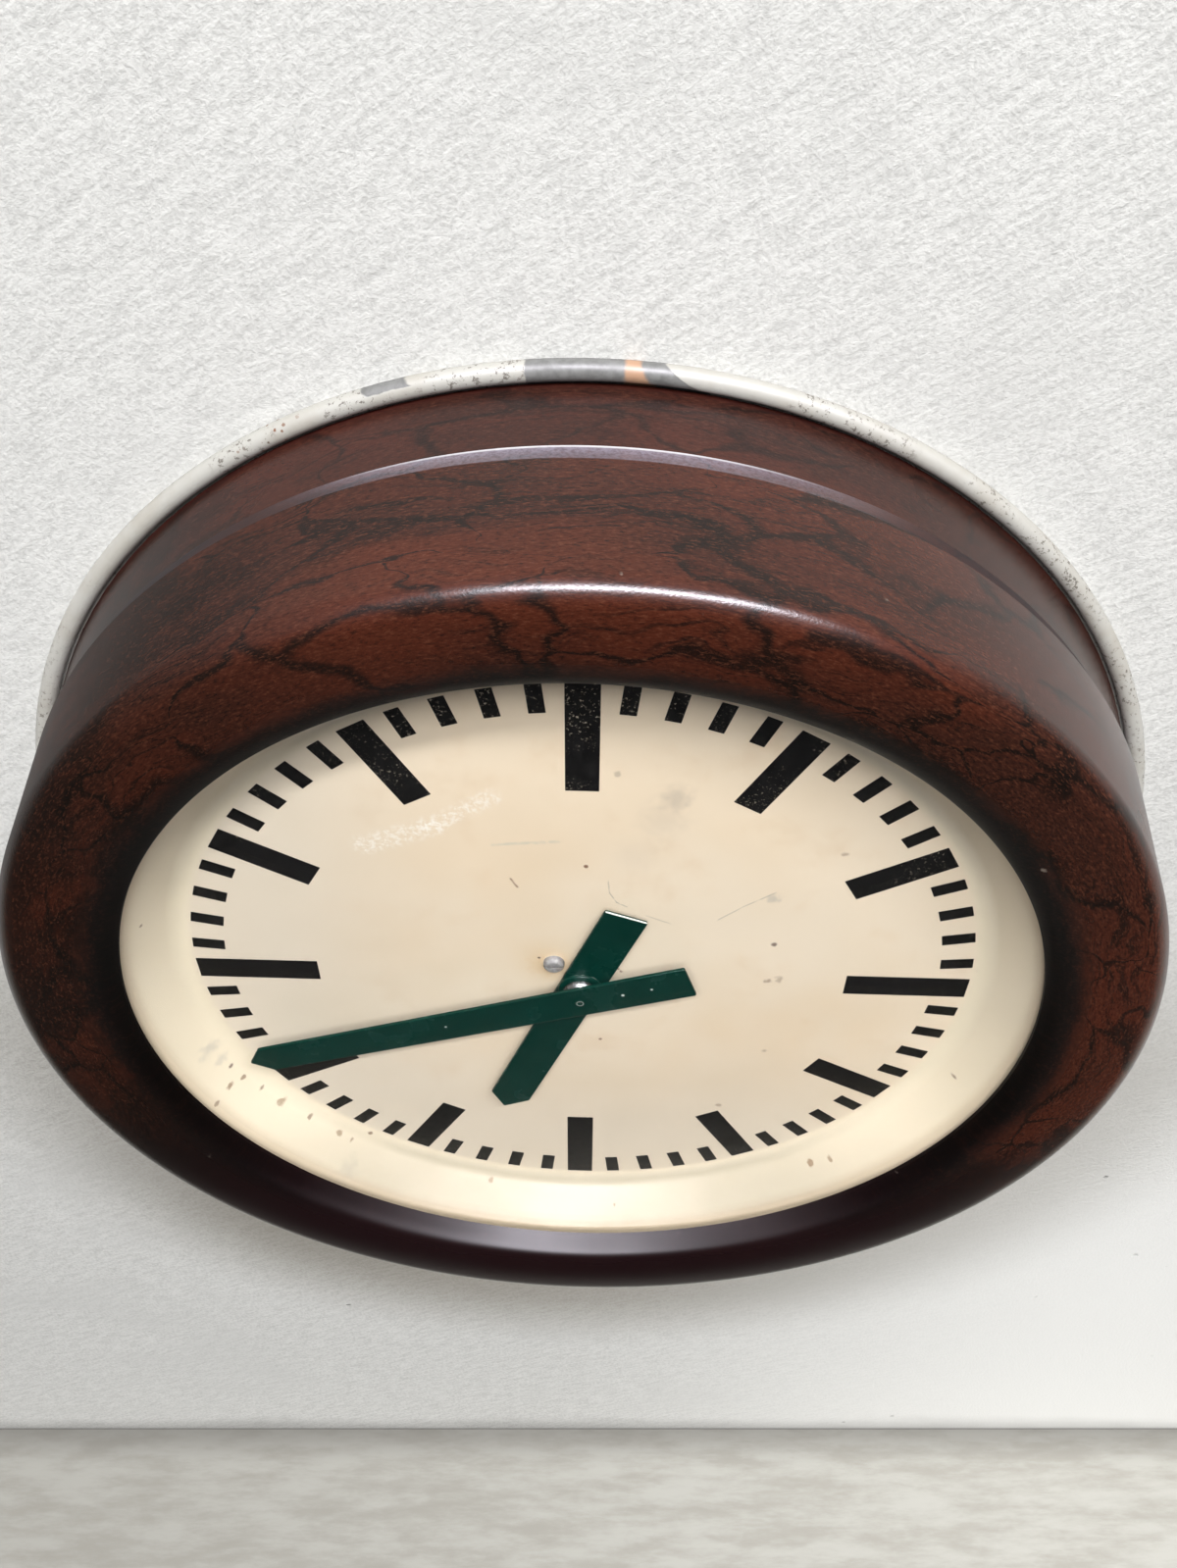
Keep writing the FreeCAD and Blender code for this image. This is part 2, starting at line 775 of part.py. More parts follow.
def bezel():
    spigot_room = spigot_radius + loose_gap
    skirt_inner_top = bezel_corner_radius - bezel_wall
    underside = bezel_front - bezel_wall
    boss_top = underside + boss_root
    rest = rounded_edges([
        (crest_radius, bezel_front),
        (bezel_corner_radius, bezel_front, front_round),
        (bevel_radius, bevel_level),
        (bezel_rear_radius, bezel_rear, skirt_round),
        (spigot_room, bezel_rear, skirt_mouth_round),
        (spigot_room, case_flange_front + spigot_end_room),
        (skirt_inner_top, underside, skirt_corner_round),
        (well_radius + well_wall, underside, well_corner_round),
        (well_radius + well_wall, dial_flange_back),
        (well_radius, dial_flange_back),
        (well_radius, rebate_level),
        (opening_radius, rebate_level),
        (opening_radius, lip_level),
    ], section_point)
    shell = Part.Face(Part.Wire(bezel_front_edges() + rest)).revolve(origin, z_axis, 360)
    case_boss = disc(case_boss_radius, case_flange_front, boss_top, (case_screw_circle, 0))
    gusset = box(
        (case_screw_circle, -gusset_thickness / 2, case_flange_front + gusset_setback),
        (skirt_inner_top + bezel_wall / 2, gusset_thickness / 2, boss_top),
    )
    clip_boss = disc(clip_boss_radius, dial_flange_back, boss_top, (clip_circle, 0))
    clip_web = box(
        (well_radius + well_wall / 2, -gusset_thickness / 2, dial_flange_back + web_setback),
        (clip_circle, gusset_thickness / 2, boss_top),
    )
    additions = spread(case_boss.fuse(gusset), boss_count, case_boss_angle)
    additions += spread(clip_boss.fuse(clip_web), boss_count)
    for addition in additions:
        shell = shell.fuse(addition)
    case_hole = disc(
        case_screw[0] + thread_gap,
        case_flange_front,
        case_flange_back + case_screw_length + hole_spare,
        (case_screw_circle, 0),
    )
    clip_hole = disc(
        small_screw[0] + thread_gap,
        dial_flange_back,
        dial_flange_back + clip_screw_length,
        (clip_circle, 0),
    )
    holes = spread(case_hole, boss_count, case_boss_angle) + spread(clip_hole, boss_count)
    return shell.cut(Part.makeCompound(holes))


def bezel_screws():
    piece = moved(upside_down(screw(case_screw, case_screw_length)), case_screw_circle, 0, case_flange_back)
    return spread(piece, boss_count, case_boss_angle)


def glass():
    return turned([
        (0, dial_flange_front),
        (glass_radius, dial_flange_front, glass_edge_round),
        (glass_radius, glass_front, glass_edge_round),
        (0, glass_front),
    ])


def glass_gasket():
    return ring(glass_radius, opening_radius + lip_nose, glass_front, rebate_level)


# Dial

def dial():
    rise = math.atan2(dial_dish, rim_width)
    shift = dial_sheet * math.tan(rise / 2)
    front = [
        (0, dial_face),
        (dial_flat_radius, dial_face, rim_foot_bend),
        (rim_top_radius, dial_flange_front, rim_top_bend + dial_sheet),
        (glass_radius, dial_flange_front),
    ]
    back = [
        (glass_radius, dial_flange_back),
        (rim_top_radius + shift, dial_flange_back, rim_top_bend),
        (dial_flat_radius + shift, dial_back, rim_foot_bend + dial_sheet),
        (0, dial_back),
    ]
    sheet = turned(front + back)
    holes = [disc(pipe_radius + dial_centre_room, dial_back, dial_face)]
    holes += at_places(disc(small_screw[0] + screw_gap, dial_back, dial_face), dial_screw_places)
    return sheet.cut(Part.makeCompound(holes))


def dial_screws():
    piece = screw(small_screw, dial_sheet + dial_post_height)
    return [moved(piece, x, y, dial_face) for x, y in dial_screw_places]


def dial_posts():
    post = ring(dial_post_radius, small_screw[0] + thread_gap, front_plate_front, dial_back)
    return at_places(post, dial_screw_places)


def dial_clips():
    inner = glass_radius - clip_bite
    outer = clip_circle + clip_boss_radius
    bottom = dial_flange_back - clip_thickness
    points = rounded_box_points(inner, -clip_width / 2, outer, clip_width / 2, clip_corner)
    clip = flat_plate(points, bottom, dial_flange_back)
    clip = clip.cut(disc(small_screw[0] + screw_gap, bottom, dial_flange_back, (clip_circle, 0)))
    return spread(clip, boss_count)


def clip_screws():
    piece = upside_down(screw(small_screw, clip_screw_length))
    return spread(moved(piece, clip_circle, 0, dial_flange_back - clip_thickness), boss_count)


# Hands

def hand_points(tail, tail_width, reach, tip_width):
    shoulder = reach - tip_width / 2 * math.tan(math.radians(90 - hand_tip_angle))
    return [
        (0, -tail),
        (tail_width / 2, -tail, hand_corner),
        (tip_width / 2, shoulder),
        (0, reach),
        (-tip_width / 2, shoulder),
        (-tail_width / 2, -tail, hand_corner),
    ]


def hour_hand():
    points = hand_points(hour_hand_tail, hour_hand_width, hour_hand_reach, hour_hand_width)
    hand = flat_plate(points, hour_hand_back, hour_hand_front)
    hand = hand.cut(disc(pipe_radius + pipe_wall + press_gap, hour_hand_back, hour_hand_front))
    return spun(hand, hour_hand_turn)


def hour_collet():
    neck = pipe_radius + pipe_wall
    bore = pipe_radius + press_gap
    return turned([
        (bore, hour_hand_back - collet_height),
        (neck, hour_hand_back - collet_height),
        (neck, hour_hand_back - collet_height / 2),
        (collet_radius, hour_hand_back - collet_height / 2, collet_edge_round),
        (collet_radius, hour_hand_back),
        (neck, hour_hand_back),
        (neck, hour_hand_front),
        (bore, hour_hand_front),
    ])


def hour_washer():
    top = hour_hand_front + hand_washer_height
    inner = centre_arbor_radius + running_gap
    return turned([
        (inner, hour_hand_front),
        (hand_washer_radius, hour_hand_front),
        (hand_washer_radius, top, hand_washer_round),
        (inner, top),
    ])


def minute_hand():
    points = hand_points(minute_hand_tail, minute_hand_tail_width, minute_hand_reach, minute_hand_tip_width)
    hand = flat_plate(points, minute_hand_back, minute_hand_front)
    hand = hand.cut(disc(hand_rivet_radius + press_gap, minute_hand_back, minute_hand_front))
    return spun(hand, minute_hand_turn)


def minute_boss():
    bottom = hour_hand_front + hand_washer_height + loose_gap
    bore = centre_arbor_radius + press_gap
    height = minute_hand_back - bottom
    return turned([
        (bore, bottom),
        (boss_base_radius, bottom),
        (boss_base_radius, bottom + height * boss_rim_share, height * boss_round_share),
        (boss_top_radius, minute_hand_back, height * boss_round_share),
        (bore, minute_hand_back),
    ])


# Movement frame

def movement_plate_points():
    return rounded_box_points(-plate_half_width, plate_bottom, plate_half_width, plate_top, plate_corner)


def front_plate():
    plate = flat_plate(movement_plate_points(), front_plate_back, front_plate_front)
    holes = [disc(pipe_radius + running_gap + bush_wall + press_gap, front_plate_back, front_plate_front)]
    bush_hole = disc(bush_radius + press_gap, front_plate_back, front_plate_front)
    holes += at_places(bush_hole, [intermediate_place, rotor_place])
    holes.append(disc(stud_radius + press_gap, front_plate_back, front_plate_front, motion_place))
    pillar_hole = disc(small_screw[0] + screw_gap, front_plate_back, front_plate_front)
    holes += at_places(pillar_hole, pillar_places + limb_places)
    return plate.cut(Part.makeCompound(holes))


def rear_plate():
    plate = flat_plate(movement_plate_points(), rear_plate_back, rear_plate_front)
    bush_hole = disc(bush_radius + press_gap, rear_plate_back, rear_plate_front)
    holes = at_places(bush_hole, [(0.0, 0.0), intermediate_place, rotor_place])
    screw_hole = disc(small_screw[0] + screw_gap, rear_plate_back, rear_plate_front)
    holes += at_places(screw_hole, pillar_places + limb_places + [(0.0, block_y)])
    return plate.cut(Part.makeCompound(holes))


def plate_pillars():
    thread = small_screw[0] + thread_gap
    full = ring(pillar_radius, thread, rear_plate_front, front_plate_back)
    rear_half = ring(pillar_radius, thread, rear_plate_front, pole_back)
    front_half = ring(pillar_radius, thread, pole_front, front_plate_back)
    halves = at_places(rear_half, limb_places) + at_places(front_half, limb_places)
    return at_places(full, pillar_places) + halves


def front_plate_screws():
    long_length = front_plate_front - pole_back + plate_screw_length / 2
    short = moved(screw(small_screw, plate_screw_length), 0, 0, front_plate_front)
    long = moved(screw(small_screw, long_length), 0, 0, front_plate_front)
    return at_places(short, pillar_places) + at_places(long, limb_places)


def rear_plate_screws():
    piece = moved(upside_down(screw(small_screw, plate_screw_length)), 0, 0, rear_plate_back)
    return at_places(piece, pillar_places + limb_places)


def bush(bore, wall, plate_back, plate_front, flange_on_back):
    outer = bore + wall
    flange = outer + bush_flange
    low = plate_back - (bush_flange_length if flange_on_back else 0)
    high = plate_front + (0 if flange_on_back else bush_flange_length)
    collar_low = low if flange_on_back else plate_front
    body = disc(outer, low, high).fuse(disc(flange, collar_low, collar_low + bush_flange_length))
    return body.removeSplitter().cut(disc(bore, low, high))


def bearing_bushes():
    bore = pivot_radius + running_gap
    front = bush(bore, bush_wall, front_plate_back, front_plate_front, True)
    rear = bush(bore, bush_wall, rear_plate_back, rear_plate_front, False)
    train = [intermediate_place, rotor_place]
    return at_places(front, train) + at_places(rear, train + [(0.0, 0.0)])


def centre_bush():
    return bush(pipe_radius + running_gap, bush_wall, front_plate_back, front_plate_front, True)


def motion_stud():
    low = motion_wheel_back - 2 * end_float - 2 * stud_clip_thickness
    return disc(stud_radius, low, front_plate_front, motion_place)


def stud_clip():
    top = motion_wheel_back - end_float
    bottom = top - stud_clip_thickness
    clip = ring(stud_radius + stud_clip_width, stud_radius + press_gap, bottom, top)
    mouth = box((-stud_radius / 2, 0, bottom), (stud_radius / 2, stud_radius + stud_clip_width, top))
    return moved(clip.cut(mouth), motion_place[0], motion_place[1], 0)


# Gear train

def centre_arbor():
    hand_seat = minute_hand_back
    return turned([
        (0, pivot_levels[0]),
        (pivot_radius, pivot_levels[0]),
        (pivot_radius, shoulder_levels[0]),
        (centre_arbor_radius, shoulder_levels[0]),
        (centre_arbor_radius, hand_seat),
        (hand_rivet_radius, hand_seat),
        (hand_rivet_radius, minute_hand_front),
        (0, minute_hand_front),
    ])


def centre_wheel():
    bore = centre_arbor_radius + press_gap
    wheel = arm_wheel(centre_wheel_teeth, centre_module, centre_wheel_back, centre_phase, bore)
    return wheel.fuse(ring(wheel_hub_radius, bore, centre_wheel_back - wheel_hub_length, centre_wheel_back))


def cannon_pinion():
    pinion = gear(cannon_teeth, motion_module, cannon_back, cannon_front, cannon_phase)
    return pinion.cut(disc(centre_arbor_radius + press_gap, cannon_back, cannon_front))


def hour_wheel():
    return arm_wheel(hour_wheel_teeth, hour_module, hour_wheel_back, hour_phase, pipe_radius + press_gap)


def hour_pipe():
    flange = pipe_radius + pipe_flange
    return turned([
        (pipe_bore, hour_wheel_back - pipe_flange_length),
        (flange, hour_wheel_back - pipe_flange_length),
        (flange, hour_wheel_back),
        (pipe_radius, hour_wheel_back),
        (pipe_radius, hour_hand_front),
        (pipe_bore, hour_hand_front),
    ])


def motion_hub_radius():
    return hour_module * (motion_pinion_teeth / 2 - dedendum)


def motion_pinion():
    leaves = gear(motion_pinion_teeth, hour_module, motion_pinion_back, motion_pinion_front, motion_phase)
    seat = disc(motion_hub_radius(), motion_wheel_back, motion_pinion_back)
    pinion = leaves.fuse(seat).cut(disc(stud_radius + running_gap, motion_wheel_back, motion_pinion_front))
    return moved(pinion, motion_place[0], motion_place[1], 0)


def motion_wheel():
    bore = motion_hub_radius() + press_gap
    wheel = arm_wheel(motion_wheel_teeth, motion_module, motion_wheel_back, motion_phase, bore)
    return moved(wheel, motion_place[0], motion_place[1], 0)


def intermediate_arbor():
    piece = arbor(intermediate_arbor_radius, shoulder_levels, pivot_levels)
    return moved(piece, intermediate_place[0], intermediate_place[1], 0)


def intermediate_pinion():
    top = intermediate_pinion_back + pinion_length
    pinion = gear(intermediate_pinion_teeth, centre_module, intermediate_pinion_back, top, intermediate_phase)
    pinion = pinion.cut(disc(intermediate_arbor_radius + press_gap, intermediate_pinion_back, top))
    return moved(pinion, intermediate_place[0], intermediate_place[1], 0)


def intermediate_wheel():
    bore = intermediate_arbor_radius + press_gap
    back = intermediate_wheel_back
    wheel = arm_wheel(intermediate_wheel_teeth, rotor_module, back, intermediate_phase, bore)
    front = back + wheel_thickness
    wheel = wheel.fuse(ring(wheel_hub_radius, bore, front, front + wheel_hub_length))
    return moved(wheel, intermediate_place[0], intermediate_place[1], 0)


def rotor_arbor():
    piece = arbor(rotor_arbor_radius, shoulder_levels, pivot_levels)
    return moved(piece, rotor_place[0], rotor_place[1], 0)


def rotor_pinion():
    top = rotor_pinion_back + pinion_length
    pinion = gear(rotor_pinion_teeth, rotor_module, rotor_pinion_back, top, rotor_phase)
    pinion = pinion.cut(disc(rotor_arbor_radius + press_gap, rotor_pinion_back, top))
    return moved(pinion, rotor_place[0], rotor_place[1], 0)


def rotor_magnet():
    bore = rotor_arbor_radius + press_gap
    return ring(magnet_radius, bore, magnet_back, magnet_back + magnet_length, rotor_place)


# Impulse motor

def pole_pieces():
    top = rotor_place[1] + pole_half_height
    bottom = coil_y - core_height / 2 - limb_end_room
    limb_points = rounded_box_points(limb_inner, bottom, limb_outer, top, limb_corner)
    limb = flat_plate(limb_points, pole_back, pole_front)
    arm_low = (rotor_place[0], rotor_place[1] - pole_half_height, pole_back)
    arm = box(arm_low, (limb_inner + limb_width / 2, top, pole_front))
    pole = limb.fuse(arm).removeSplitter()
    slit = pole_gap + pole_slit_room
    pole = pole.cut(disc(magnet_radius + pole_gap, pole_back, pole_front, rotor_place))
    pole = pole.cut(box((0, rotor_place[1] - 2 * magnet_radius, pole_back), (slit, top, pole_front)))
    hole = disc(small_screw[0] + screw_gap, pole_back, pole_front)
    right = pole.cut(Part.makeCompound(at_places(hole, [limb_places[1], core_screw_places[1]])))
    left = right.copy()
    left.rotate(Vector(rotor_place[0], 0, pole_back + pole_thickness / 2), Vector(0, 1, 0), 180)
    return [right, left]


def coil_core():
    bar = box(
        (-limb_outer, coil_y - core_height / 2, core_back),
        (limb_outer, coil_y + core_height / 2, pole_back),
    )
    hole = disc(small_screw[0] + thread_gap, core_back, pole_back)
    return bar.cut(Part.makeCompound(at_places(hole, core_screw_places)))


def core_screws():
    piece = moved(screw(small_screw, core_screw_length), 0, 0, pole_front)
    return at_places(piece, core_screw_places)


def coil_former():
    half = former_half_size
    hole_y = core_height / 2 + loose_gap
    hole_z = core_thickness / 2 + loose_gap
    tube = box(
        (-former_half_length, coil_y - hole_y - former_wall, coil_level - hole_z - former_wall),
        (former_half_length, coil_y + hole_y + former_wall, coil_level + hole_z + former_wall),
    )
    former = tube
    for end in (-former_half_length, former_half_length - former_flange):
        low = (end, coil_y - half, coil_level - half)
        high = (end + former_flange, coil_y + half, coil_level + half)
        former = former.fuse(box(low, high))
    passage = box(
        (-former_half_length, coil_y - hole_y, coil_level - hole_z),
        (former_half_length, coil_y + hole_y, coil_level + hole_z),
    )
    return former.removeSplitter().cut(passage)


def coil_winding():
    half_length = former_half_length - former_flange - loose_gap / 2
    hole_y = core_height / 2 + loose_gap + former_wall + press_gap
    hole_z = core_thickness / 2 + loose_gap + former_wall + press_gap
    first_end = Vector(-half_length, coil_y, coil_level)
    turns = Part.makeCylinder(winding_radius, 2 * half_length, first_end, x_axis)
    return turns.cut(box(
        (-half_length, coil_y - hole_y, coil_level - hole_z),
        (half_length, coil_y + hole_y, coil_level + hole_z),
    ))


# Terminal block on the rear plate

lead_circle = winding_radius + lead_radius + press_gap
lead_level = coil_level - lead_circle


def coil_leads():
    end_y = block_y - small_screw[0] - loose_gap
    start = Vector(0, coil_y - lead_circle, coil_level)
    slant = lead_circle * math.sqrt(0.5)
    middle = Vector(0, coil_y - slant, coil_level - slant)
    lowest = Vector(0, coil_y, lead_level)
    path = Part.Wire([Part.Arc(start, middle, lowest).toShape(), line(lowest, Vector(0, end_y, lead_level))])
    profile = Part.Wire([Part.makeCircle(lead_radius, start, z_axis)])
    lead = path.makePipeShell([profile], True, False)
    return at_places(lead, [(-terminal_x, 0.0), (terminal_x, 0.0)])


def terminal_block():
    low = block_y - block_width / 2
    high = block_y + block_width / 2
    points = rounded_box_points(-block_length / 2, low, block_length / 2, high, block_corner)
    block = flat_plate(points, block_rear, rear_plate_back)
    well_floor = block_rear + block_well_depth
    well = disc(block_well_radius, block_rear, well_floor)
    thread = disc(small_screw[0] + thread_gap, well_floor, rear_plate_back)
    cuts = at_places(well.fuse(thread), [(-terminal_x, block_y), (terminal_x, block_y)])
    head_room = disc(small_screw[1] + screw_gap, block_rear, well_floor)
    shank_room = disc(small_screw[0] + screw_gap, well_floor, rear_plate_back)
    cuts.append(moved(head_room.fuse(shank_room), 0, block_y, 0))
    for x in (-terminal_x, terminal_x):
        cuts.append(Part.makeCylinder(
            lead_radius + press_gap, block_width / 2, Vector(x, low, lead_level), Vector(0, 1, 0)))
    for cut in cuts:
        block = block.cut(cut)
    return block


def terminal_screws():
    piece = upside_down(screw(small_screw, terminal_screw_length))
    well_floor = block_rear + block_well_depth
    return [moved(piece, x, block_y, well_floor) for x in (-terminal_x, terminal_x)]


def block_screw():
    well_floor = block_rear + block_well_depth
    length = rear_plate_front - well_floor
    return moved(upside_down(screw(small_screw, length)), 0, block_y, well_floor)


pieces = {
    "wall_plate": wall_plate,
    "cable_grommet": cable_grommet,
    "hanging_hooks": hanging_hooks,
    "lock_lug": lock_lug,
    "plate_rivets": plate_rivets,
    "lock_screw": lock_screw,
    "rear_case": rear_case,
    "bezel": bezel,
    "bezel_screws": bezel_screws,
    "glass": glass,
    "glass_gasket": glass_gasket,
    "dial": dial,
    "dial_screws": dial_screws,
    "dial_posts": dial_posts,
    "dial_clips": dial_clips,
    "clip_screws": clip_screws,
    "hour_hand": hour_hand,
    "hour_collet": hour_collet,
    "hour_washer": hour_washer,
    "minute_hand": minute_hand,
    "minute_boss": minute_boss,
    "front_plate": front_plate,
    "rear_plate": rear_plate,
    "plate_pillars": plate_pillars,
    "front_plate_screws": front_plate_screws,
    "rear_plate_screws": rear_plate_screws,
    "bearing_bushes": bearing_bushes,
    "centre_bush": centre_bush,
    "motion_stud": motion_stud,
    "stud_clip": stud_clip,
    "centre_arbor": centre_arbor,
    "centre_wheel": centre_wheel,
    "cannon_pinion": cannon_pinion,
    "hour_wheel": hour_wheel,
    "hour_pipe": hour_pipe,
    "motion_wheel": motion_wheel,
    "motion_pinion": motion_pinion,
    "intermediate_arbor": intermediate_arbor,
    "intermediate_pinion": intermediate_pinion,
    "intermediate_wheel": intermediate_wheel,
    "rotor_arbor": rotor_arbor,
    "rotor_pinion": rotor_pinion,
    "rotor_magnet": rotor_magnet,
    "pole_pieces": pole_pieces,
    "coil_core": coil_core,
    "core_screws": core_screws,
    "coil_former": coil_former,
    "coil_winding": coil_winding,
    "coil_leads": coil_leads,
    "terminal_block": terminal_block,
    "terminal_screws": terminal_screws,
    "block_screw": block_screw,
}

os.makedirs("parts", exist_ok=True)
for name, make in pieces.items():
    made = make()
    solids = made if isinstance(made, list) else [made]
    whole = Part.makeCompound([solid for shape in solids for solid in shape.Solids])
    whole.rotate(origin, x_axis, 90)
    whole.exportStep("parts/" + name + ".step")
    print(name, len(whole.Solids), "solid", round(whole.Volume, 1), "mm3", whole.isValid())
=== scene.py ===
import json
from math import atan2, cos, pi, radians, sin, tan, tau

import bpy
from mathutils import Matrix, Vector


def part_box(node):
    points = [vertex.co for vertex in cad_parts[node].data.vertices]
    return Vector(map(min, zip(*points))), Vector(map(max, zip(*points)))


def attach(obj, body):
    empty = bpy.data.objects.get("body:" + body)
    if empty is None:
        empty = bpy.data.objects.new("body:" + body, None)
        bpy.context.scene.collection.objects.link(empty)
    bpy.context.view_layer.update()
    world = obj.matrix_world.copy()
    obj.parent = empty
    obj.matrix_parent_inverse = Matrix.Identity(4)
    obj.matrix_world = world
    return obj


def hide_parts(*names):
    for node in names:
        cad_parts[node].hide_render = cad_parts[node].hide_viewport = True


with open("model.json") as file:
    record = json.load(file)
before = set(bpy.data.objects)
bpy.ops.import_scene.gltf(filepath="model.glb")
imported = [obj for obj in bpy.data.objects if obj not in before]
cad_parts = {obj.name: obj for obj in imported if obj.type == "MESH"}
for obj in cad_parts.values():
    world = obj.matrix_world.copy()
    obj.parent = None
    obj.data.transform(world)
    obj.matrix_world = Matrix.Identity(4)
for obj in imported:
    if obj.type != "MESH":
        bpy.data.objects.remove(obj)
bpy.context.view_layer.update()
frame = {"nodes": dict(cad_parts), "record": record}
nodes = frame["nodes"]
mm = 0.001
print("frame loaded:", len(nodes), "nodes")


# Small helpers for shader trees

def addNode(tree, kind, inputs=None, **settings):
    node = tree.nodes.new("ShaderNode" + kind)
    for name, value in settings.items():
        setattr(node, name, value)
    for key, value in (inputs or {}).items():
        if isinstance(value, bpy.types.NodeSocket):
            tree.links.new(value, node.inputs[key])
        else:
            node.inputs[key].default_value = value
    return node


def math(tree, operation, first, second=0.0, third=0.0, clamp=False):
    inputs = {0: first, 1: second, 2: third}
    return addNode(tree, "Math", inputs, operation=operation, use_clamp=clamp).outputs[0]


def times(tree, *values):
    product = values[0]
    for value in values[1:]:
        product = math(tree, "MULTIPLY", product, value)
    return product


def most(tree, *values):
    highest = values[0]
    for value in values[1:]:
        highest = math(tree, "MAXIMUM", highest, value)
    return highest


def fade(tree, value, low, high, toLow=0.0, toHigh=1.0):  # smooth step between two values
    inputs = {"Value": value, "From Min": low, "From Max": high, "To Min": toLow, "To Max": toHigh}
    return addNode(tree, "MapRange", inputs, interpolation_type="SMOOTHSTEP").outputs[0]


def between(tree, value, low, high, soft):
    return times(tree, fade(tree, value, low - soft, low + soft), fade(tree, value, high + soft, high - soft))


def blend(tree, share, under, over, mode="MIX"):
    node = addNode(tree, "Mix", data_type="RGBA", blend_type=mode, clamp_factor=True)
    for index, value in ((0, share), (6, under), (7, over)):
        if isinstance(value, bpy.types.NodeSocket):
            tree.links.new(value, node.inputs[index])
        elif index == 0:
            node.inputs[index].default_value = value
        else:
            node.inputs[index].default_value = (*value, 1.0)
    return node.outputs[2]


def noise(tree, vector, scale, detail=3.0, roughness=0.5, distortion=0.0):
    inputs = {"Vector": vector, "Scale": scale, "Detail": detail, "Roughness": roughness, "Distortion": distortion}
    return addNode(tree, "TexNoise", inputs)


def stretched(tree, vector, scale, turn=(0.0, 0.0, 0.0), place=(0.0, 0.0, 0.0)):
    # turned first, then stretched
    turned = addNode(tree, "Mapping", {"Vector": vector, "Location": place, "Rotation": turn}).outputs[0]
    return addNode(tree, "Mapping", {"Vector": turned, "Scale": scale}).outputs[0]


def objectPlace(tree):
    return addNode(tree, "TexCoord").outputs["Object"]


def newGroup(name, inputs, outputs):
    group = bpy.data.node_groups.new(name, "ShaderNodeTree")
    for label, kind, value in inputs:
        socket = group.interface.new_socket(label, in_out="INPUT", socket_type="NodeSocket" + kind)
        if value is not None:
            socket.default_value = value
    for label, kind in outputs:
        group.interface.new_socket(label, in_out="OUTPUT", socket_type="NodeSocket" + kind)
    return group, group.nodes.new("NodeGroupInput").outputs, group.nodes.new("NodeGroupOutput").inputs


def useGroup(tree, group, **inputs):
    node = tree.nodes.new("ShaderNodeGroup")
    node.node_tree = group
    for label, value in inputs.items():
        if isinstance(value, bpy.types.NodeSocket):
            tree.links.new(value, node.inputs[label])
        else:
            node.inputs[label].default_value = value
    return node.outputs


def newMaterial(name, **plain):
    material = bpy.data.materials.new(name)
    material.use_nodes = True
    shader = material.node_tree.nodes["Principled BSDF"]
    for label, value in plain.items():
        shader.inputs[label.replace("_", " ")].default_value = value
    return material, material.node_tree, shader


def link(tree, shader, **sockets):
    for label, socket in sockets.items():
        tree.links.new(socket, shader.inputs[label.replace("_", " ")])


def bump(tree, height, strength, distance):
    return addNode(tree, "Bump", {"Height": height, "Strength": strength, "Distance": distance}).outputs[0]


# Shared shader effects

def makeRingGroup():
    # clock angle in degrees, distance from the hand axis, distance from the wall, and the run over the moulding
    group, given, out = newGroup(
        "ringPlace", [("Place", "Vector", None)],
        [("Angle", "Float"), ("Radius", "Float"), ("Out", "Float"), ("Run", "Float")])
    axes = addNode(group, "SeparateXYZ", {0: given["Place"]}).outputs
    angle = math(group, "MULTIPLY", math(group, "ARCTAN2", axes["X"], axes["Z"]), 360.0 / tau)
    flat = addNode(group, "CombineXYZ", {"X": axes["X"], "Y": axes["Z"]}).outputs[0]
    radius = addNode(group, "VectorMath", {0: flat}, operation="LENGTH").outputs["Value"]
    outward = math(group, "MULTIPLY", axes["Y"], -1.0)
    group.links.new(angle, out["Angle"])
    group.links.new(radius, out["Radius"])
    group.links.new(outward, out["Out"])
    group.links.new(math(group, "SUBTRACT", radius, outward), out["Run"])
    return group


def makeSpotGroup():
    # one soft spot round a place on the dial plane, with a ragged edge
    group, given, out = newGroup(
        "spot",
        [("Place", "Vector", None), ("Centre", "Vector", None), ("Size", "Float", mm), ("Soft", "Float", mm),
         ("Ragged", "Float", 0.3)],
        [("Mask", "Float")])
    flat = addNode(group, "VectorMath", {0: given["Place"], 1: (1.0, 0.0, 1.0)}, operation="MULTIPLY").outputs[0]
    apart = addNode(group, "VectorMath", {0: flat, 1: given["Centre"]}, operation="DISTANCE").outputs["Value"]
    ragged = noise(group, given["Place"], 450.0, 3.0, 0.6).outputs["Fac"]
    push = times(group, math(group, "SUBTRACT", ragged, 0.5), given["Ragged"], given["Size"], 4.0)
    apart = math(group, "ADD", apart, push)
    low = math(group, "SUBTRACT", given["Size"], given["Soft"])
    high = math(group, "ADD", given["Size"], given["Soft"])
    group.links.new(fade(group, apart, high, low), out["Mask"])
    return group


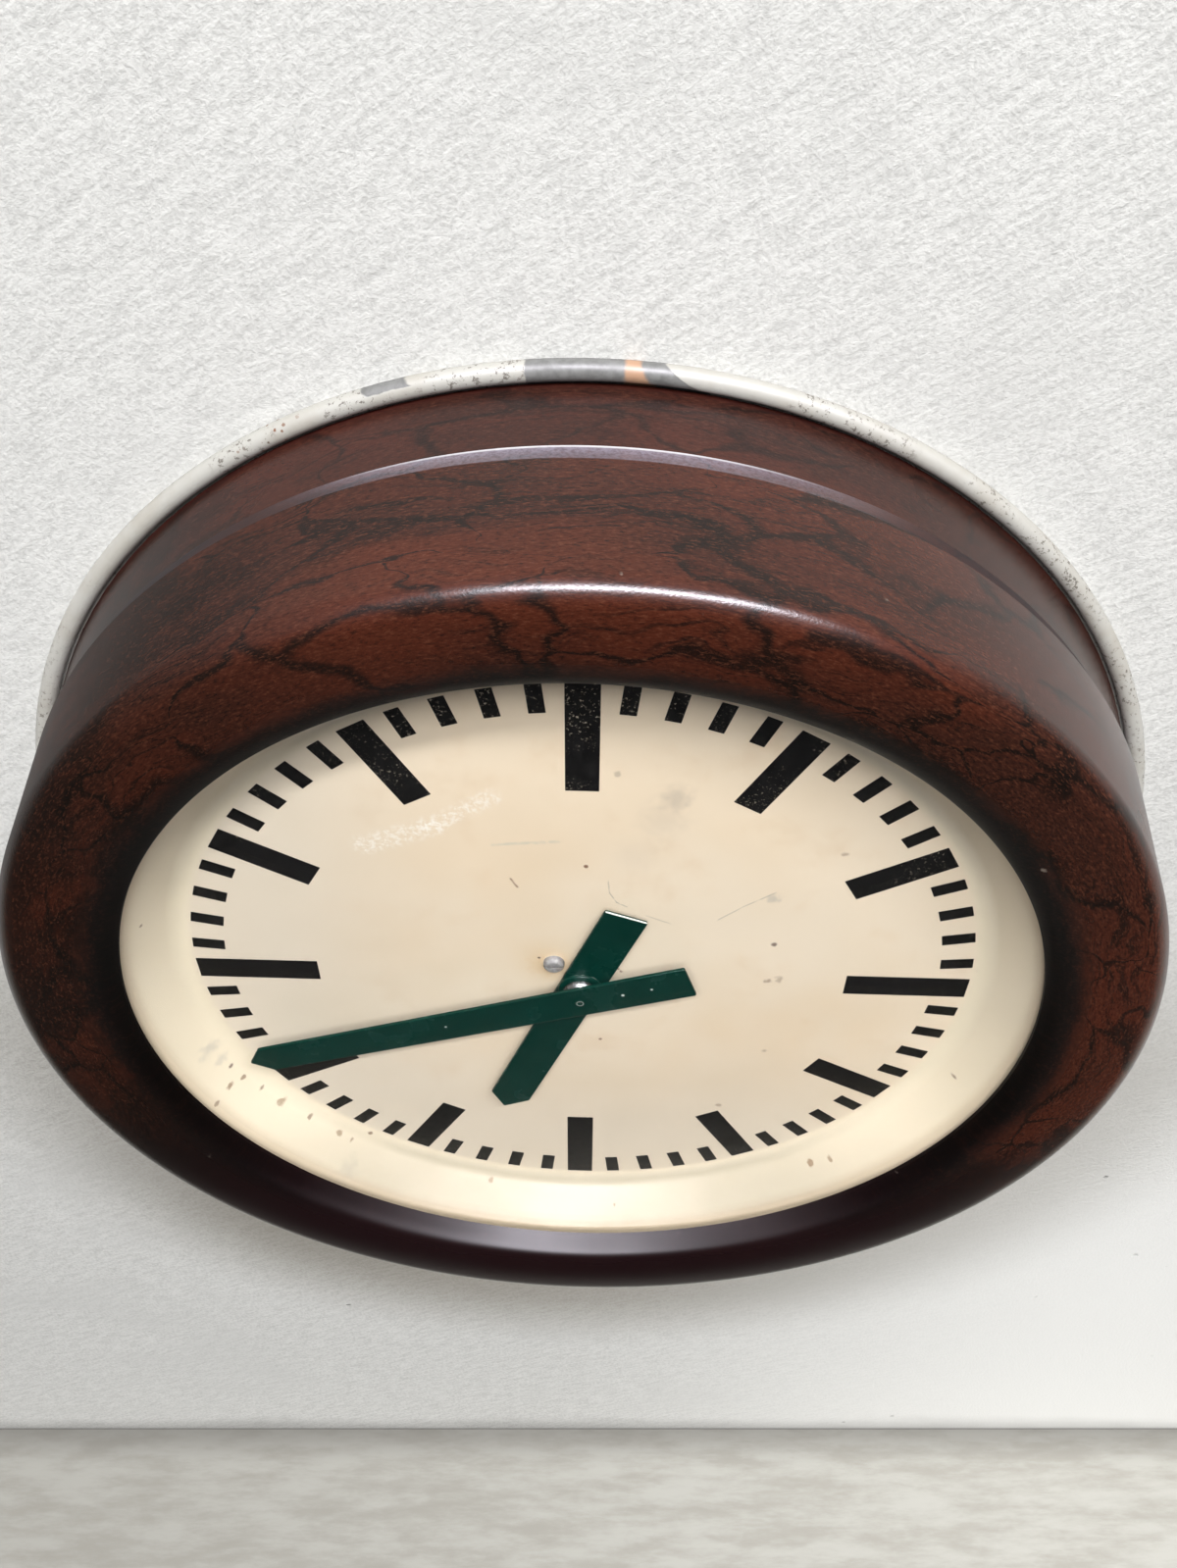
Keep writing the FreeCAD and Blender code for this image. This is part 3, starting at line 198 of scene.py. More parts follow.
def makeSpeckGroup():
    # scattered spots of uneven size
    group, given, out = newGroup(
        "specks",
        [("Place", "Vector", None), ("Scale", "Float", 200.0), ("Share", "Float", 0.2), ("Size", "Float", 0.3)],
        [("Mask", "Float")])
    cells = addNode(group, "TexVoronoi", {"Vector": given["Place"], "Scale": given["Scale"]})
    lot = addNode(group, "SeparateColor", {0: cells.outputs["Color"]}).outputs
    chosen = math(group, "LESS_THAN", lot["Red"], given["Share"])
    size = math(group, "MULTIPLY", given["Size"], math(group, "ADD", lot["Green"], 0.25))
    ragged = noise(group, given["Place"], math(group, "MULTIPLY", given["Scale"], 4.0), 2.0).outputs["Fac"]
    distance = math(group, "ADD", cells.outputs["Distance"], math(group, "MULTIPLY_ADD", ragged, 0.3, -0.15))
    spot = fade(group, math(group, "SUBTRACT", distance, size), 0.05, -0.05)
    group.links.new(math(group, "MULTIPLY", spot, chosen), out["Mask"])
    return group


def makeLineGroup():
    # a worn line between two places on the dial plane, also drawn broad as a painted sheen
    group, given, out = newGroup(
        "wornLineAndSheen",
        [("Place", "Vector", None), ("From", "Vector", None), ("To", "Vector", None), ("Width", "Float", mm),
         ("Broken", "Float", 0.4)],
        [("Mask", "Float")])
    flat = addNode(group, "VectorMath", {0: given["Place"], 1: (1.0, 0.0, 1.0)}, operation="MULTIPLY").outputs[0]
    way = addNode(group, "VectorMath", {0: given["To"], 1: given["From"]}, operation="SUBTRACT").outputs[0]
    off = addNode(group, "VectorMath", {0: flat, 1: given["From"]}, operation="SUBTRACT").outputs[0]
    along = addNode(group, "VectorMath", {0: off, 1: way}, operation="DOT_PRODUCT").outputs["Value"]
    whole = addNode(group, "VectorMath", {0: way, 1: way}, operation="DOT_PRODUCT").outputs["Value"]
    share = math(group, "DIVIDE", along, whole, clamp=True)
    step = addNode(group, "VectorMath", {0: way, "Scale": share}, operation="SCALE").outputs[0]
    apart = addNode(group, "VectorMath", {0: off, 1: step}, operation="DISTANCE").outputs["Value"]
    thin = fade(group, math(group, "DIVIDE", apart, given["Width"]), 1.0, 0.3)
    patchy = math(group, "SUBTRACT", noise(group, given["Place"], 600.0, 4.0, 0.75).outputs["Fac"], given["Broken"])
    group.links.new(times(group, thin, fade(group, patchy, -0.05, 0.08)), out["Mask"])
    return group


def makeHairlineGroup():
    # long thin scratches that come and go
    group, given, out = newGroup(
        "hairlines",
        [("Place", "Vector", None), ("Scale", "Float", 30.0), ("Share", "Float", 0.5)],
        [("Mask", "Float")])
    lines = []
    for turn, place in ((0.35, 0.3), (-0.9, 0.7), (1.9, 0.1)):
        along = stretched(group, given["Place"], (1.0, 1.0, 14.0), (0.0, turn, 0.0), (place, place, place))
        wander = noise(group, along, given["Scale"], 1.0, 0.4).outputs["Fac"]
        thin = fade(group, math(group, "ABSOLUTE", math(group, "SUBTRACT", wander, 0.5)), 0.012, 0.002)
        shifted = stretched(group, given["Place"], (1.0, 1.0, 1.0), (0.0, 0.0, 0.0), (place, 0.0, place))
        patch = noise(group, shifted, math(group, "MULTIPLY", given["Scale"], 1.3), 1.0).outputs["Fac"]
        edge = math(group, "SUBTRACT", 0.85, math(group, "MULTIPLY", given["Share"], 0.4))
        lines.append(times(group, thin, fade(group, patch, edge, math(group, "ADD", edge, 0.06))))
    group.links.new(most(group, *lines), out["Mask"])
    return group


def makeEdgeGroup():
    # rubbed edges: where a rounded normal leaves the true one
    group, given, out = newGroup(
        "rubbedEdges",
        [("Place", "Vector", None), ("Width", "Float", 0.4 * mm), ("Scale", "Float", 600.0), ("Share", "Float", 0.5)],
        [("Mask", "Float")])
    soft = addNode(group, "Bevel", {"Radius": given["Width"]}, samples=6).outputs[0]
    true = addNode(group, "NewGeometry").outputs["Normal"]
    same = addNode(group, "VectorMath", {0: soft, 1: true}, operation="DOT_PRODUCT").outputs["Value"]
    edge = fade(group, same, 0.99, 0.8)
    patchy = noise(group, given["Place"], given["Scale"], 3.0, 0.6).outputs["Fac"]
    worn = fade(group, math(group, "ADD", patchy, math(group, "MULTIPLY_ADD", given["Share"], 0.6, -0.3)), 0.45, 0.6)
    group.links.new(math(group, "MULTIPLY", edge, worn), out["Mask"])
    return group


def makeMarbleGroup():
    # moulding powder drawn out round the ring: clouds, islands edged by dark veins, long streaks and fine grain
    group, given, out = newGroup(
        "marbledMoulding",
        [("Place", "Vector", None), ("Dark", "Color", None), ("Brown", "Color", None), ("Red", "Color", None),
         ("Fleck", "Color", None), ("Veins", "Float", 1.0), ("Murk", "Float", 0.0)],
        [("Color", "Color"), ("Height", "Float")])
    ring = useGroup(group, ringGroup, Place=given["Place"])
    turn = math(group, "MULTIPLY", ring["Angle"], tau / 360.0)
    around = 3.4
    across = 48.0
    swirl = addNode(group, "CombineXYZ", {
        "X": math(group, "MULTIPLY", math(group, "COSINE", turn), around),
        "Y": math(group, "MULTIPLY", math(group, "SINE", turn), around),
        "Z": math(group, "MULTIPLY", ring["Run"], across),
    }).outputs[0]
    push = noise(group, swirl, 0.9, 3.0, 0.55).outputs["Color"]
    inputs = {0: push, 1: (1.3, 1.3, 1.3), 2: swirl}
    pushed = addNode(group, "VectorMath", inputs, operation="MULTIPLY_ADD").outputs[0]
    tint = noise(group, pushed, 0.55, 3.0, 0.5).outputs["Fac"]
    color = blend(group, fade(group, tint, 0.36, 0.68), given["Brown"], given["Red"])
    cloud = noise(group, pushed, 0.8, 4.0, 0.6).outputs["Fac"]
    cloud = math(group, "SUBTRACT", cloud, math(group, "MULTIPLY", given["Murk"], 0.3))
    shade = fade(group, cloud, 0.45, 0.29, 0.0, 0.7)
    islands = addNode(group, "TexVoronoi", {"Vector": pushed, "Scale": 1.15}, feature="DISTANCE_TO_EDGE")
    width = fade(group, noise(group, swirl, 1.0, 2.0).outputs["Fac"], 0.38, 0.66, 0.004, 0.14)
    border = math(group, "DIVIDE", islands.outputs["Distance"], width)
    vein = times(group, fade(group, border, 1.0, 0.1), given["Veins"], 0.8)
    streak = noise(group, stretched(group, pushed, (1.0, 1.0, 13.0)), 1.2, 5.0, 0.62).outputs["Fac"]
    streaky = fade(group, noise(group, swirl, 0.7, 2.0).outputs["Fac"], 0.42, 0.58)
    darkness = most(group, shade, vein, times(group, fade(group, streak, 0.50, 0.66, 0.0, 0.7), streaky))
    color = blend(group, fade(group, streak, 0.47, 0.32, 0.0, 0.4), color, given["Red"])
    color = blend(group, darkness, color, given["Dark"])
    grain = noise(group, stretched(group, swirl, (26.0, 26.0, 40.0)), 1.0, 3.0, 0.75).outputs["Fac"]
    color = blend(group, fade(group, grain, 0.50, 0.72, 0.0, 0.6), color, given["Fleck"])
    color = blend(group, fade(group, grain, 0.49, 0.30, 0.0, 0.6), color, given["Dark"])
    color = blend(group, math(group, "MULTIPLY", given["Murk"], 0.85), color, given["Dark"])
    group.links.new(color, out["Color"])
    group.links.new(noise(group, given["Place"], 1500.0, 2.0, 0.55).outputs["Fac"], out["Height"])
    return group


ringGroup = makeRingGroup()
spotGroup = makeSpotGroup()
speckGroup = makeSpeckGroup()
lineGroup = makeLineGroup()
hairlineGroup = makeHairlineGroup()
edgeGroup = makeEdgeGroup()
marbleGroup = makeMarbleGroup()
print("shared shader effects ready")


# Modelling helpers

def roundedOutline(points, steps=6):
    # a third value turns a corner into an arc of that radius
    outline = []
    for index, point in enumerate(points):
        corner = Vector(point[:2])
        if len(point) == 2:
            outline.append(corner)
            continue
        before = (Vector(points[index - 1][:2]) - corner).normalized()
        after = (Vector(points[(index + 1) % len(points)][:2]) - corner).normalized()
        half = before.angle(after) / 2
        centre = corner + (before + after).normalized() * point[2] / sin(half)
        setback = point[2] / tan(half)
        first = (corner + before * setback - centre).normalized()
        last = (corner + after * setback - centre).normalized()
        for step in range(steps + 1):
            outline.append(centre + first.slerp(last, step / steps) * point[2])
    return outline


def drawChain(places):
    # one point, extruded from place to place
    bpy.ops.object.select_all(action="DESELECT")
    bpy.ops.mesh.primitive_plane_add(size=mm, location=places[0])
    bpy.ops.object.transform_apply(location=True, rotation=True, scale=True)
    bpy.ops.object.mode_set(mode="EDIT")
    bpy.ops.mesh.select_all(action="SELECT")
    bpy.ops.mesh.merge(type="CENTER")
    for before, after in zip(places, places[1:]):
        bpy.ops.mesh.extrude_region_move(TRANSFORM_OT_translate={"value": after - before})
    bpy.ops.mesh.select_all(action="SELECT")
    return bpy.context.object


def closePiece(piece, name, smoothAngle):
    bpy.ops.mesh.select_all(action="SELECT")
    bpy.ops.mesh.normals_make_consistent(inside=False)
    bpy.ops.object.mode_set(mode="OBJECT")
    bpy.ops.object.shade_smooth_by_angle(angle=radians(smoothAngle))
    piece.name = name
    piece.data.name = name
    return piece


def turnedPiece(name, section, steps=288, smoothAngle=25.0):
    # section points are (radius, distance from the wall); an open section starts and ends on the hand axis
    places = [Vector((radius, -outward, 0.0)) for radius, outward in section]
    if section[0][0] > 0.0:
        places.append(places[0])
    piece = drawChain(places)
    bpy.ops.mesh.spin(steps=steps, angle=tau, center=(0.0, 0.0, 0.0), axis=(0.0, 1.0, 0.0))
    bpy.ops.mesh.select_all(action="SELECT")
    bpy.ops.mesh.remove_doubles(threshold=0.002 * mm)
    return closePiece(piece, name, smoothAngle)


def clockPoint(across, along, angle, outward):
    # a point of something that lies along a clock angle
    return Vector((along * sin(angle) + across * cos(angle), -outward, along * cos(angle) - across * sin(angle)))


def sheetPiece(name, outline, angle, back, front, edge):
    # a flat outline given as (across, along), filled, raised and broken along its edges
    places = [clockPoint(point[0], point[1], angle, back) for point in outline]
    piece = drawChain(places + places[:1])
    bpy.ops.mesh.remove_doubles(threshold=0.002 * mm)
    bpy.ops.mesh.edge_face_add()
    bpy.ops.mesh.extrude_region_move(TRANSFORM_OT_translate={"value": (0.0, back - front, 0.0)})
    closePiece(piece, name, 40.0)
    rounding = piece.modifiers.new("brokenEdges", "BEVEL")
    rounding.width = edge
    rounding.segments = 3
    rounding.limit_method = "ANGLE"
    rounding.angle_limit = radians(50.0)
    bpy.ops.object.modifier_apply(modifier=rounding.name)
    return piece


def spreadRound(piece, count, step):
    # copies of the whole mesh, clockwise about the hand axis
    bpy.ops.object.mode_set(mode="EDIT")
    bpy.ops.mesh.select_all(action="SELECT")
    bpy.ops.mesh.spin(steps=count - 1, dupli=True, angle=-radians(step) * (count - 1), center=(0.0, 0.0, 0.0),
                      axis=(0.0, 1.0, 0.0))
    bpy.ops.object.mode_set(mode="OBJECT")


def settle(piece, material, body, slot, *replaced):
    piece.data.materials.clear()
    piece.data.materials.append(material)
    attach(piece, body)
    if replaced:
        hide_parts(*replaced)


def levels(node):
    # rear and front distance from the wall
    low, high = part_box(node)
    return -high[1], -low[1]


# Bakelite of the bezel and the rear case

def makeBakelite(name, look):
    material, tree, shader = newMaterial(name, IOR=look["ior"])
    place = objectPlace(tree)
    ring = useGroup(tree, ringGroup, Place=place)
    # darker near the opening and towards the bottom; the darkening towards the left side is painted shade
    inner = fade(tree, ring["Radius"], look["innerLight"], look["innerDark"])
    height = addNode(tree, "SeparateXYZ", {0: place}).outputs["Z"]
    lower = fade(tree, height, look["lowLight"], look["lowDark"], 0.0, look["lowShare"])
    across = addNode(tree, "SeparateXYZ", {0: place}).outputs["X"]
    leftward = fade(tree, across, -0.02, -0.14)
    lower = math(tree, "ADD", lower, times(tree, leftward, look["leftShare"]), clamp=True)
    marble = useGroup(tree, marbleGroup, Place=place, Dark=(*look["dark"], 1.0), Brown=(*look["brown"], 1.0),
                      Red=(*look["red"], 1.0), Fleck=(*look["fleck"], 1.0), Veins=look["veins"], Murk=most(tree, inner, lower))
    dust = useGroup(tree, speckGroup, Place=place, Scale=130.0, Share=0.05, Size=0.06)["Mask"]
    scratches = useGroup(tree, hairlineGroup, Place=place, Scale=22.0, Share=0.2)["Mask"]
    color = blend(tree, times(tree, dust, 0.6), marble["Color"], (0.40, 0.33, 0.27))
    color = blend(tree, times(tree, scratches, 0.2), color, (0.25, 0.17, 0.14))
    bevel = between(tree, ring["Out"], look["bevelFrom"], look["bevelTo"], 0.3 * mm)
    fromTop = math(tree, "ABSOLUTE", ring["Angle"])
    # painted highlight on the rear bevel near the top: a grainy pale-purple sheen, and a white line along its upper
    # edge
    sheenGrain = fade(tree, noise(tree, place, 900.0, 3.0, 0.7).outputs["Fac"], 0.3, 0.65, 0.55, 1.0)
    sheenShare = times(tree, fade(tree, fromTop, look["bevelSpread"], 4.0), fade(tree, ring["Out"], 31.0 * mm, 25.0 * mm, 0.4, 0.9))
    color = blend(tree, times(tree, bevel, sheenGrain, sheenShare, look["bevelPaintedSheen"]), color, (0.30, 0.27, 0.335))
    highlightLine = times(tree, fade(tree, ring["Out"], 26.2 * mm, 25.2 * mm), fade(tree, fromTop, 0.75 * look["bevelSpread"], 4.0))
    color = blend(tree, times(tree, bevel, highlightLine, look["bevelPaintedSheen"]), color, (0.72, 0.71, 0.74))
    haze = noise(tree, place, 14.0, 3.0).outputs["Fac"]
    rough = math(tree, "ADD", fade(tree, haze, 0.3, 0.7, look["gloss"], look["gloss"] + 0.08),
                 math(tree, "ADD", times(tree, scratches, 0.15), times(tree, inner, 0.12)))
    color = blend(tree, times(tree, fade(tree, height, -0.03, -0.12), look["maroonShare"]), color, look["maroon"])
    rear = fade(tree, ring["Out"], look["rearTo"], 0.4 * look["rearTo"])
    color = blend(tree, times(tree, rear, 0.8), color, (0.030, 0.0040, 0.0030))
    side = times(tree, inner, fade(tree, height, -0.115, -0.085))
    plain = times(tree, bevel, fade(tree, fromTop, 0.5 * look["bevelSpread"], 1.2 * look["bevelSpread"]))
    dull = times(tree, side, look["lipDull"])
    # painted dark reflection on the bevel at its sides
    color = blend(tree, times(tree, plain, 0.7), color, (0.014, 0.0085, 0.0105))
    upper = between(tree, ring["Angle"], -62.0, -12.0, 14.0)
    edge = times(tree, fade(tree, ring["Radius"], 125.15 * mm, 124.95 * mm), upper)
    color = blend(tree, times(tree, edge, look["edgeLight"]), color, (0.30, 0.29, 0.25))
    peel = bump(tree, marble["Height"], look["peel"], 0.08 * mm)
    flat = addNode(tree, "VectorMath", {0: place, 1: (-1.0, 0.0, -1.0)}, operation="MULTIPLY").outputs[0]
    inward = addNode(tree, "VectorMath", {0: flat}, operation="NORMALIZE").outputs[0]
    lean = radians(look["bandTilt"])
    inputs = {0: inward, 1: (sin(lean), sin(lean), sin(lean)), 2: (0.0, -cos(lean), 0.0)}
    band = addNode(tree, "VectorMath", inputs, operation="MULTIPLY_ADD").outputs[0]
    onBand = times(tree, fade(tree, ring["Radius"], look["bandTo"], look["bandFrom"]), fade(tree, height, -0.06, -0.10))
    matt = most(tree, times(tree, onBand, 0.10), times(tree, plain, 0.15), times(tree, side, 0.22))
    rough = math(tree, "ADD", rough, matt)
    mixed = addNode(tree, "Mix", data_type="VECTOR")
    for index, value in ((0, onBand), (4, peel), (5, band)):
        tree.links.new(value, mixed.inputs[index])
    leftSkirt = times(tree, fade(tree, across, -0.01, -0.09), fade(tree, ring["Out"], 71.0 * mm, 66.0 * mm))
    tilt = times(tree, most(tree, leftSkirt, plain), look["skirtTilt"])
    inputs = {0: tilt, 1: (0.0, -1.0, 0.0), 2: mixed.outputs[1]}
    leaned = addNode(tree, "VectorMath", inputs, operation="MULTIPLY_ADD").outputs[0]
    normal = addNode(tree, "VectorMath", {0: leaned}, operation="NORMALIZE").outputs[0]
    link(tree, shader, Base_Color=color, Roughness=rough, Metallic=dull, Normal=normal)
    return material


bezelShape = {"opening": 124.9 * mm, "lipOut": 65.0 * mm, "lipRound": 9.0 * mm, "lipTilt": radians(65.0),
              "crest": 146.0 * mm, "corner": 154.05 * mm, "cornerRound": 6.6 * mm, "bevel": 158.275 * mm,
              "bevelOut": 31.8 * mm, "rear": 157.04 * mm, "rearRound": 1.2 * mm, "mouth": 152.75 * mm,
              "mouthRound": 0.6 * mm, "mouthEnd": 43.0 * mm, "wall": 5.5 * mm, "insideRound": 3.0 * mm,
              "well": 130.7 * mm, "wellWall": 3.5 * mm, "wellEnd": 59.7 * mm, "rebate": 63.8 * mm}
bezelLook = {"dark": (0.0042, 0.0040, 0.0034), "brown": (0.028, 0.0098, 0.0064), "red": (0.056, 0.0135, 0.0070),
             "fleck": (0.105, 0.036, 0.020), "maroon": (0.0095, 0.0030, 0.0040), "maroonShare": 0.75, "veins": 1.0,
             "innerLight": 0.137, "innerDark": 0.126, "lowLight": -0.01, "lowDark": -0.10, "lowShare": 0.85, "leftShare": 0.45,
             "bevelFrom": 24.5 * mm, "bevelTo": 31.8 * mm, "bevelPaintedSheen": 0.9, "bevelSpread": 30.0, "lipDull": 0.96, "skirtTilt": 0.5, "bandTilt": 62.0, "bandFrom": 0.1275, "bandTo": 0.1325, "rearTo": 0.1 * mm, "edgeLight": 0.8, "ior": 1.35, "gloss": 0.20, "peel": 0.40}


def bezelFront(shape, front):
    # the tight arc of the lip, then the wide arc of the face up to the crest
    tilt = shape["lipTilt"]
    reach = shape["crest"] - shape["opening"] - shape["lipRound"] * sin(tilt)
    rise = front - shape["lipOut"] - shape["lipRound"] * (1.0 - cos(tilt))
    meeting = 2.0 * atan2(rise, reach)
    lipCentre = (shape["opening"] + shape["lipRound"] * sin(tilt), shape["lipOut"] - shape["lipRound"] * cos(tilt))
    faceRound = (shape["crest"] - lipCentre[0]) / sin(meeting) + shape["lipRound"]
    faceCentre = (shape["crest"], front - faceRound)
    points = []
    for centre, radius, first, last in ((lipCentre, shape["lipRound"], tilt, meeting),
                                        (faceCentre, faceRound, meeting, 0.0)):
        for step in range(12):
            lean = first + (last - first) * step / 12
            points.append((centre[0] - radius * sin(lean), centre[1] + radius * cos(lean)))
    return points


def makeBezel(shape):
    rear, front = levels("bezel")
    underside = front - shape["wall"]
    section = bezelFront(shape, front) + [
        (shape["crest"], front),
        (shape["corner"], front, shape["cornerRound"]),
        (shape["bevel"], shape["bevelOut"], 0.4 * mm),
        (shape["rear"], rear, shape["rearRound"]),
        (shape["mouth"], rear, shape["mouthRound"]),
        (shape["mouth"], shape["mouthEnd"]),
        (shape["corner"] - shape["wall"], underside, shape["insideRound"]),
        (shape["well"] + shape["wellWall"], underside),
        (shape["well"] + shape["wellWall"], shape["wellEnd"]),
        (shape["well"], shape["wellEnd"]),
        (shape["well"], shape["rebate"]),
        (shape["opening"], shape["rebate"]),
    ]
    bezel = turnedPiece("mouldedBezel", roundedOutline(section, 10), 360)
    settle(bezel, makeBakelite("bezelBakelite", bezelLook), "case", "bakelite", "bezel")


makeBezel(bezelShape)

caseLook = {"dark": (0.0048, 0.0044, 0.0040), "brown": (0.028, 0.0098, 0.0068), "red": (0.050, 0.0130, 0.0080),
            "fleck": (0.075, 0.028, 0.017), "maroon": (0.010, 0.0040, 0.0040), "maroonShare": 0.4, "veins": 0.8,
            "innerLight": 0.10, "innerDark": 0.08, "lowLight": -0.03, "lowDark": -0.14, "lowShare": 0.4, "leftShare": 0.35,
            "bevelFrom": 0.0, "bevelTo": 0.0, "bevelPaintedSheen": 0.0, "bevelSpread": 1.0, "lipDull": 0.0, "skirtTilt": 0.25, "bandTilt": 0.0, "bandFrom": 0.01, "bandTo": 0.02, "rearTo": 5.0 * mm, "edgeLight": 0.0, "ior": 1.38, "gloss": 0.24, "peel": 0.3}
nodes["rear_case"].material_slots[0].material = makeBakelite("caseBakelite", caseLook)
print("bezel and rear case ready")


# Dial: a dished sheet of cream enamel

dialShape = {"hole": 5.1 * mm, "flat": 114.6 * mm, "foot": 7.0 * mm, "rimTop": 125.5 * mm, "rim": 130.2 * mm,
             "topBend": 2.0 * mm, "sheet": 0.8 * mm}
dialLook = {"cream": (0.80, 0.64, 0.46), "pale": (0.84, 0.72, 0.57), "rim": (0.80, 0.71, 0.55), "lowRim": (0.50, 0.445, 0.345), "foot": (0.92, 0.81, 0.64), "grey": (0.74, 0.66, 0.55), "bright": (0.90, 0.76, 0.59), "tan": (0.62, 0.42, 0.24)}
dialStains = (
    # x and z on the dial, size and softness in millimetres, colour, strength, raggedness
    (-8.6, 5.2, 5.0, 3.5, (0.66, 0.42, 0.20), 0.45, 0.3),
    (-9.4, 8.5, 7.0, 5.5, (0.72, 0.51, 0.28), 0.30, 0.3),
    (23.4, 73.6, 3.4, 2.6, (0.40, 0.35, 0.30), 0.40, 0.5),
    (20.5, 66.0, 5.0, 5.0, (0.50, 0.42, 0.34), 0.24, 0.5),
    (14.0, 52.0, 5.0, 5.0, (0.55, 0.45, 0.36), 0.16, 0.5),
    (6.0, -30.5, 0.55, 0.25, (0.20, 0.11, 0.07), 0.90, 0.4),
    (1.1, 47.6, 0.60, 0.25, (0.18, 0.08, 0.04), 0.90, 0.4),
    (-11.9, 8.6, 0.50, 0.20, (0.08, 0.04, 0.03), 0.95, 0.4),
    (53.5, 17.4, 0.75, 0.30, (0.14, 0.09, 0.07), 0.90, 0.5),
    (53.6, 0.7, 1.0, 0.45, (0.30, 0.21, 0.15), 0.70, 0.9),
    (56.6, 1.6, 1.1, 0.5, (0.34, 0.25, 0.18), 0.60, 0.9),
    (51.4, 36.7, 1.6, 1.0, (0.42, 0.39, 0.35), 0.50, 0.8),
    (8.7, 81.5, 0.9, 0.4, (0.35, 0.28, 0.22), 0.50, 0.6),
    (-113.2, -34.9, 1.95, 1.44, (0.315, 0.315, 0.315), 0.34, 0.9),
    (-110.7, -40.6, 1.35, 1.08, (0.315, 0.315, 0.315), 0.31, 0.9),
    (-108.5, -45.0, 0.59, 0.28, (0.099, 0.048, 0.038), 0.79, 0.9),
    (-109.2, -50.9, 0.79, 0.40, (0.196, 0.101, 0.042), 0.72, 0.9),
    (-105.8, -51.4, 0.66, 0.32, (0.174, 0.092, 0.042), 0.72, 0.9),
    (-101.4, -58.2, 0.53, 0.32, (0.142, 0.082, 0.055), 0.72, 0.9),
    (-96.1, -66.3, 0.99, 0.48, (0.218, 0.121, 0.050), 0.63, 0.9),
    (-88.6, -75.7, 0.59, 0.32, (0.164, 0.097, 0.063), 0.72, 0.9),
    (-79.9, -85.0, 0.86, 0.40, (0.208, 0.121, 0.059), 0.63, 0.9),
    (-76.3, -88.7, 0.46, 0.24, (0.174, 0.101, 0.067), 0.63, 0.9),
    (-112.5, -53.0, 0.53, 0.28, (0.153, 0.087, 0.055), 0.63, 0.9),
    (-76.7, -95.3, 2.25, 1.98, (0.300, 0.285, 0.255), 0.25, 0.9),
    (-30.8, -112.8, 0.59, 0.32, (0.218, 0.125, 0.059), 0.63, 0.9),
    (76.7, -90.8, 0.73, 0.36, (0.196, 0.097, 0.034), 0.72, 0.9),
    (82.4, -86.5, 0.59, 0.32, (0.186, 0.087, 0.034), 0.63, 0.9),
    (12.3, -119.8, 0.33, 0.20, (0.186, 0.097, 0.050), 0.55, 0.9),
    (113.2, -36.8, 0.59, 0.32, (0.137, 0.082, 0.050), 0.72, 0.9),
)
dialLines = (
    # two ends on the dial and the width in millimetres, share left out, colour, strength
    (7.0, 42.2, 7.5, 37.3, 0.28, 0.44, (0.34, 0.30, 0.25), 0.60),
    (7.5, 37.3, 9.5, 33.5, 0.28, 0.44, (0.34, 0.30, 0.25), 0.60),
    (9.5, 33.5, 12.3, 31.8, 0.28, 0.44, (0.34, 0.30, 0.25), 0.60),
    (17.6, 28.3, 24.3, 25.2, 0.28, 0.44, (0.38, 0.33, 0.27), 0.55),
    (37.2, 27.4, 43.8, 33.4, 0.30, 0.42, (0.36, 0.32, 0.27), 0.60),
    (43.8, 33.4, 51.8, 39.4, 0.30, 0.42, (0.36, 0.32, 0.27), 0.60),
    (-23.0, 55.2, -6.0, 56.9, 0.8, 0.46, (0.46, 0.48, 0.42), 0.40),
    (-18.8, 42.1, -17.1, 38.8, 0.45, 0.42, (0.22, 0.12, 0.07), 0.85),
    (9.6, 5.3, 11.4, 3.3, 0.7, 0.46, (0.16, 0.06, 0.04), 0.90),
    # the last two are a painted sheen, a pale grainy streak of reflection on the dial
    (-56.1, 53.9, -38.5, 61.4, 5.0, 0.50, (1.0, 0.95, 0.88), 0.55),
    (-38.5, 61.4, -22.7, 72.5, 4.0, 0.50, (1.0, 0.95, 0.88), 0.55),
)


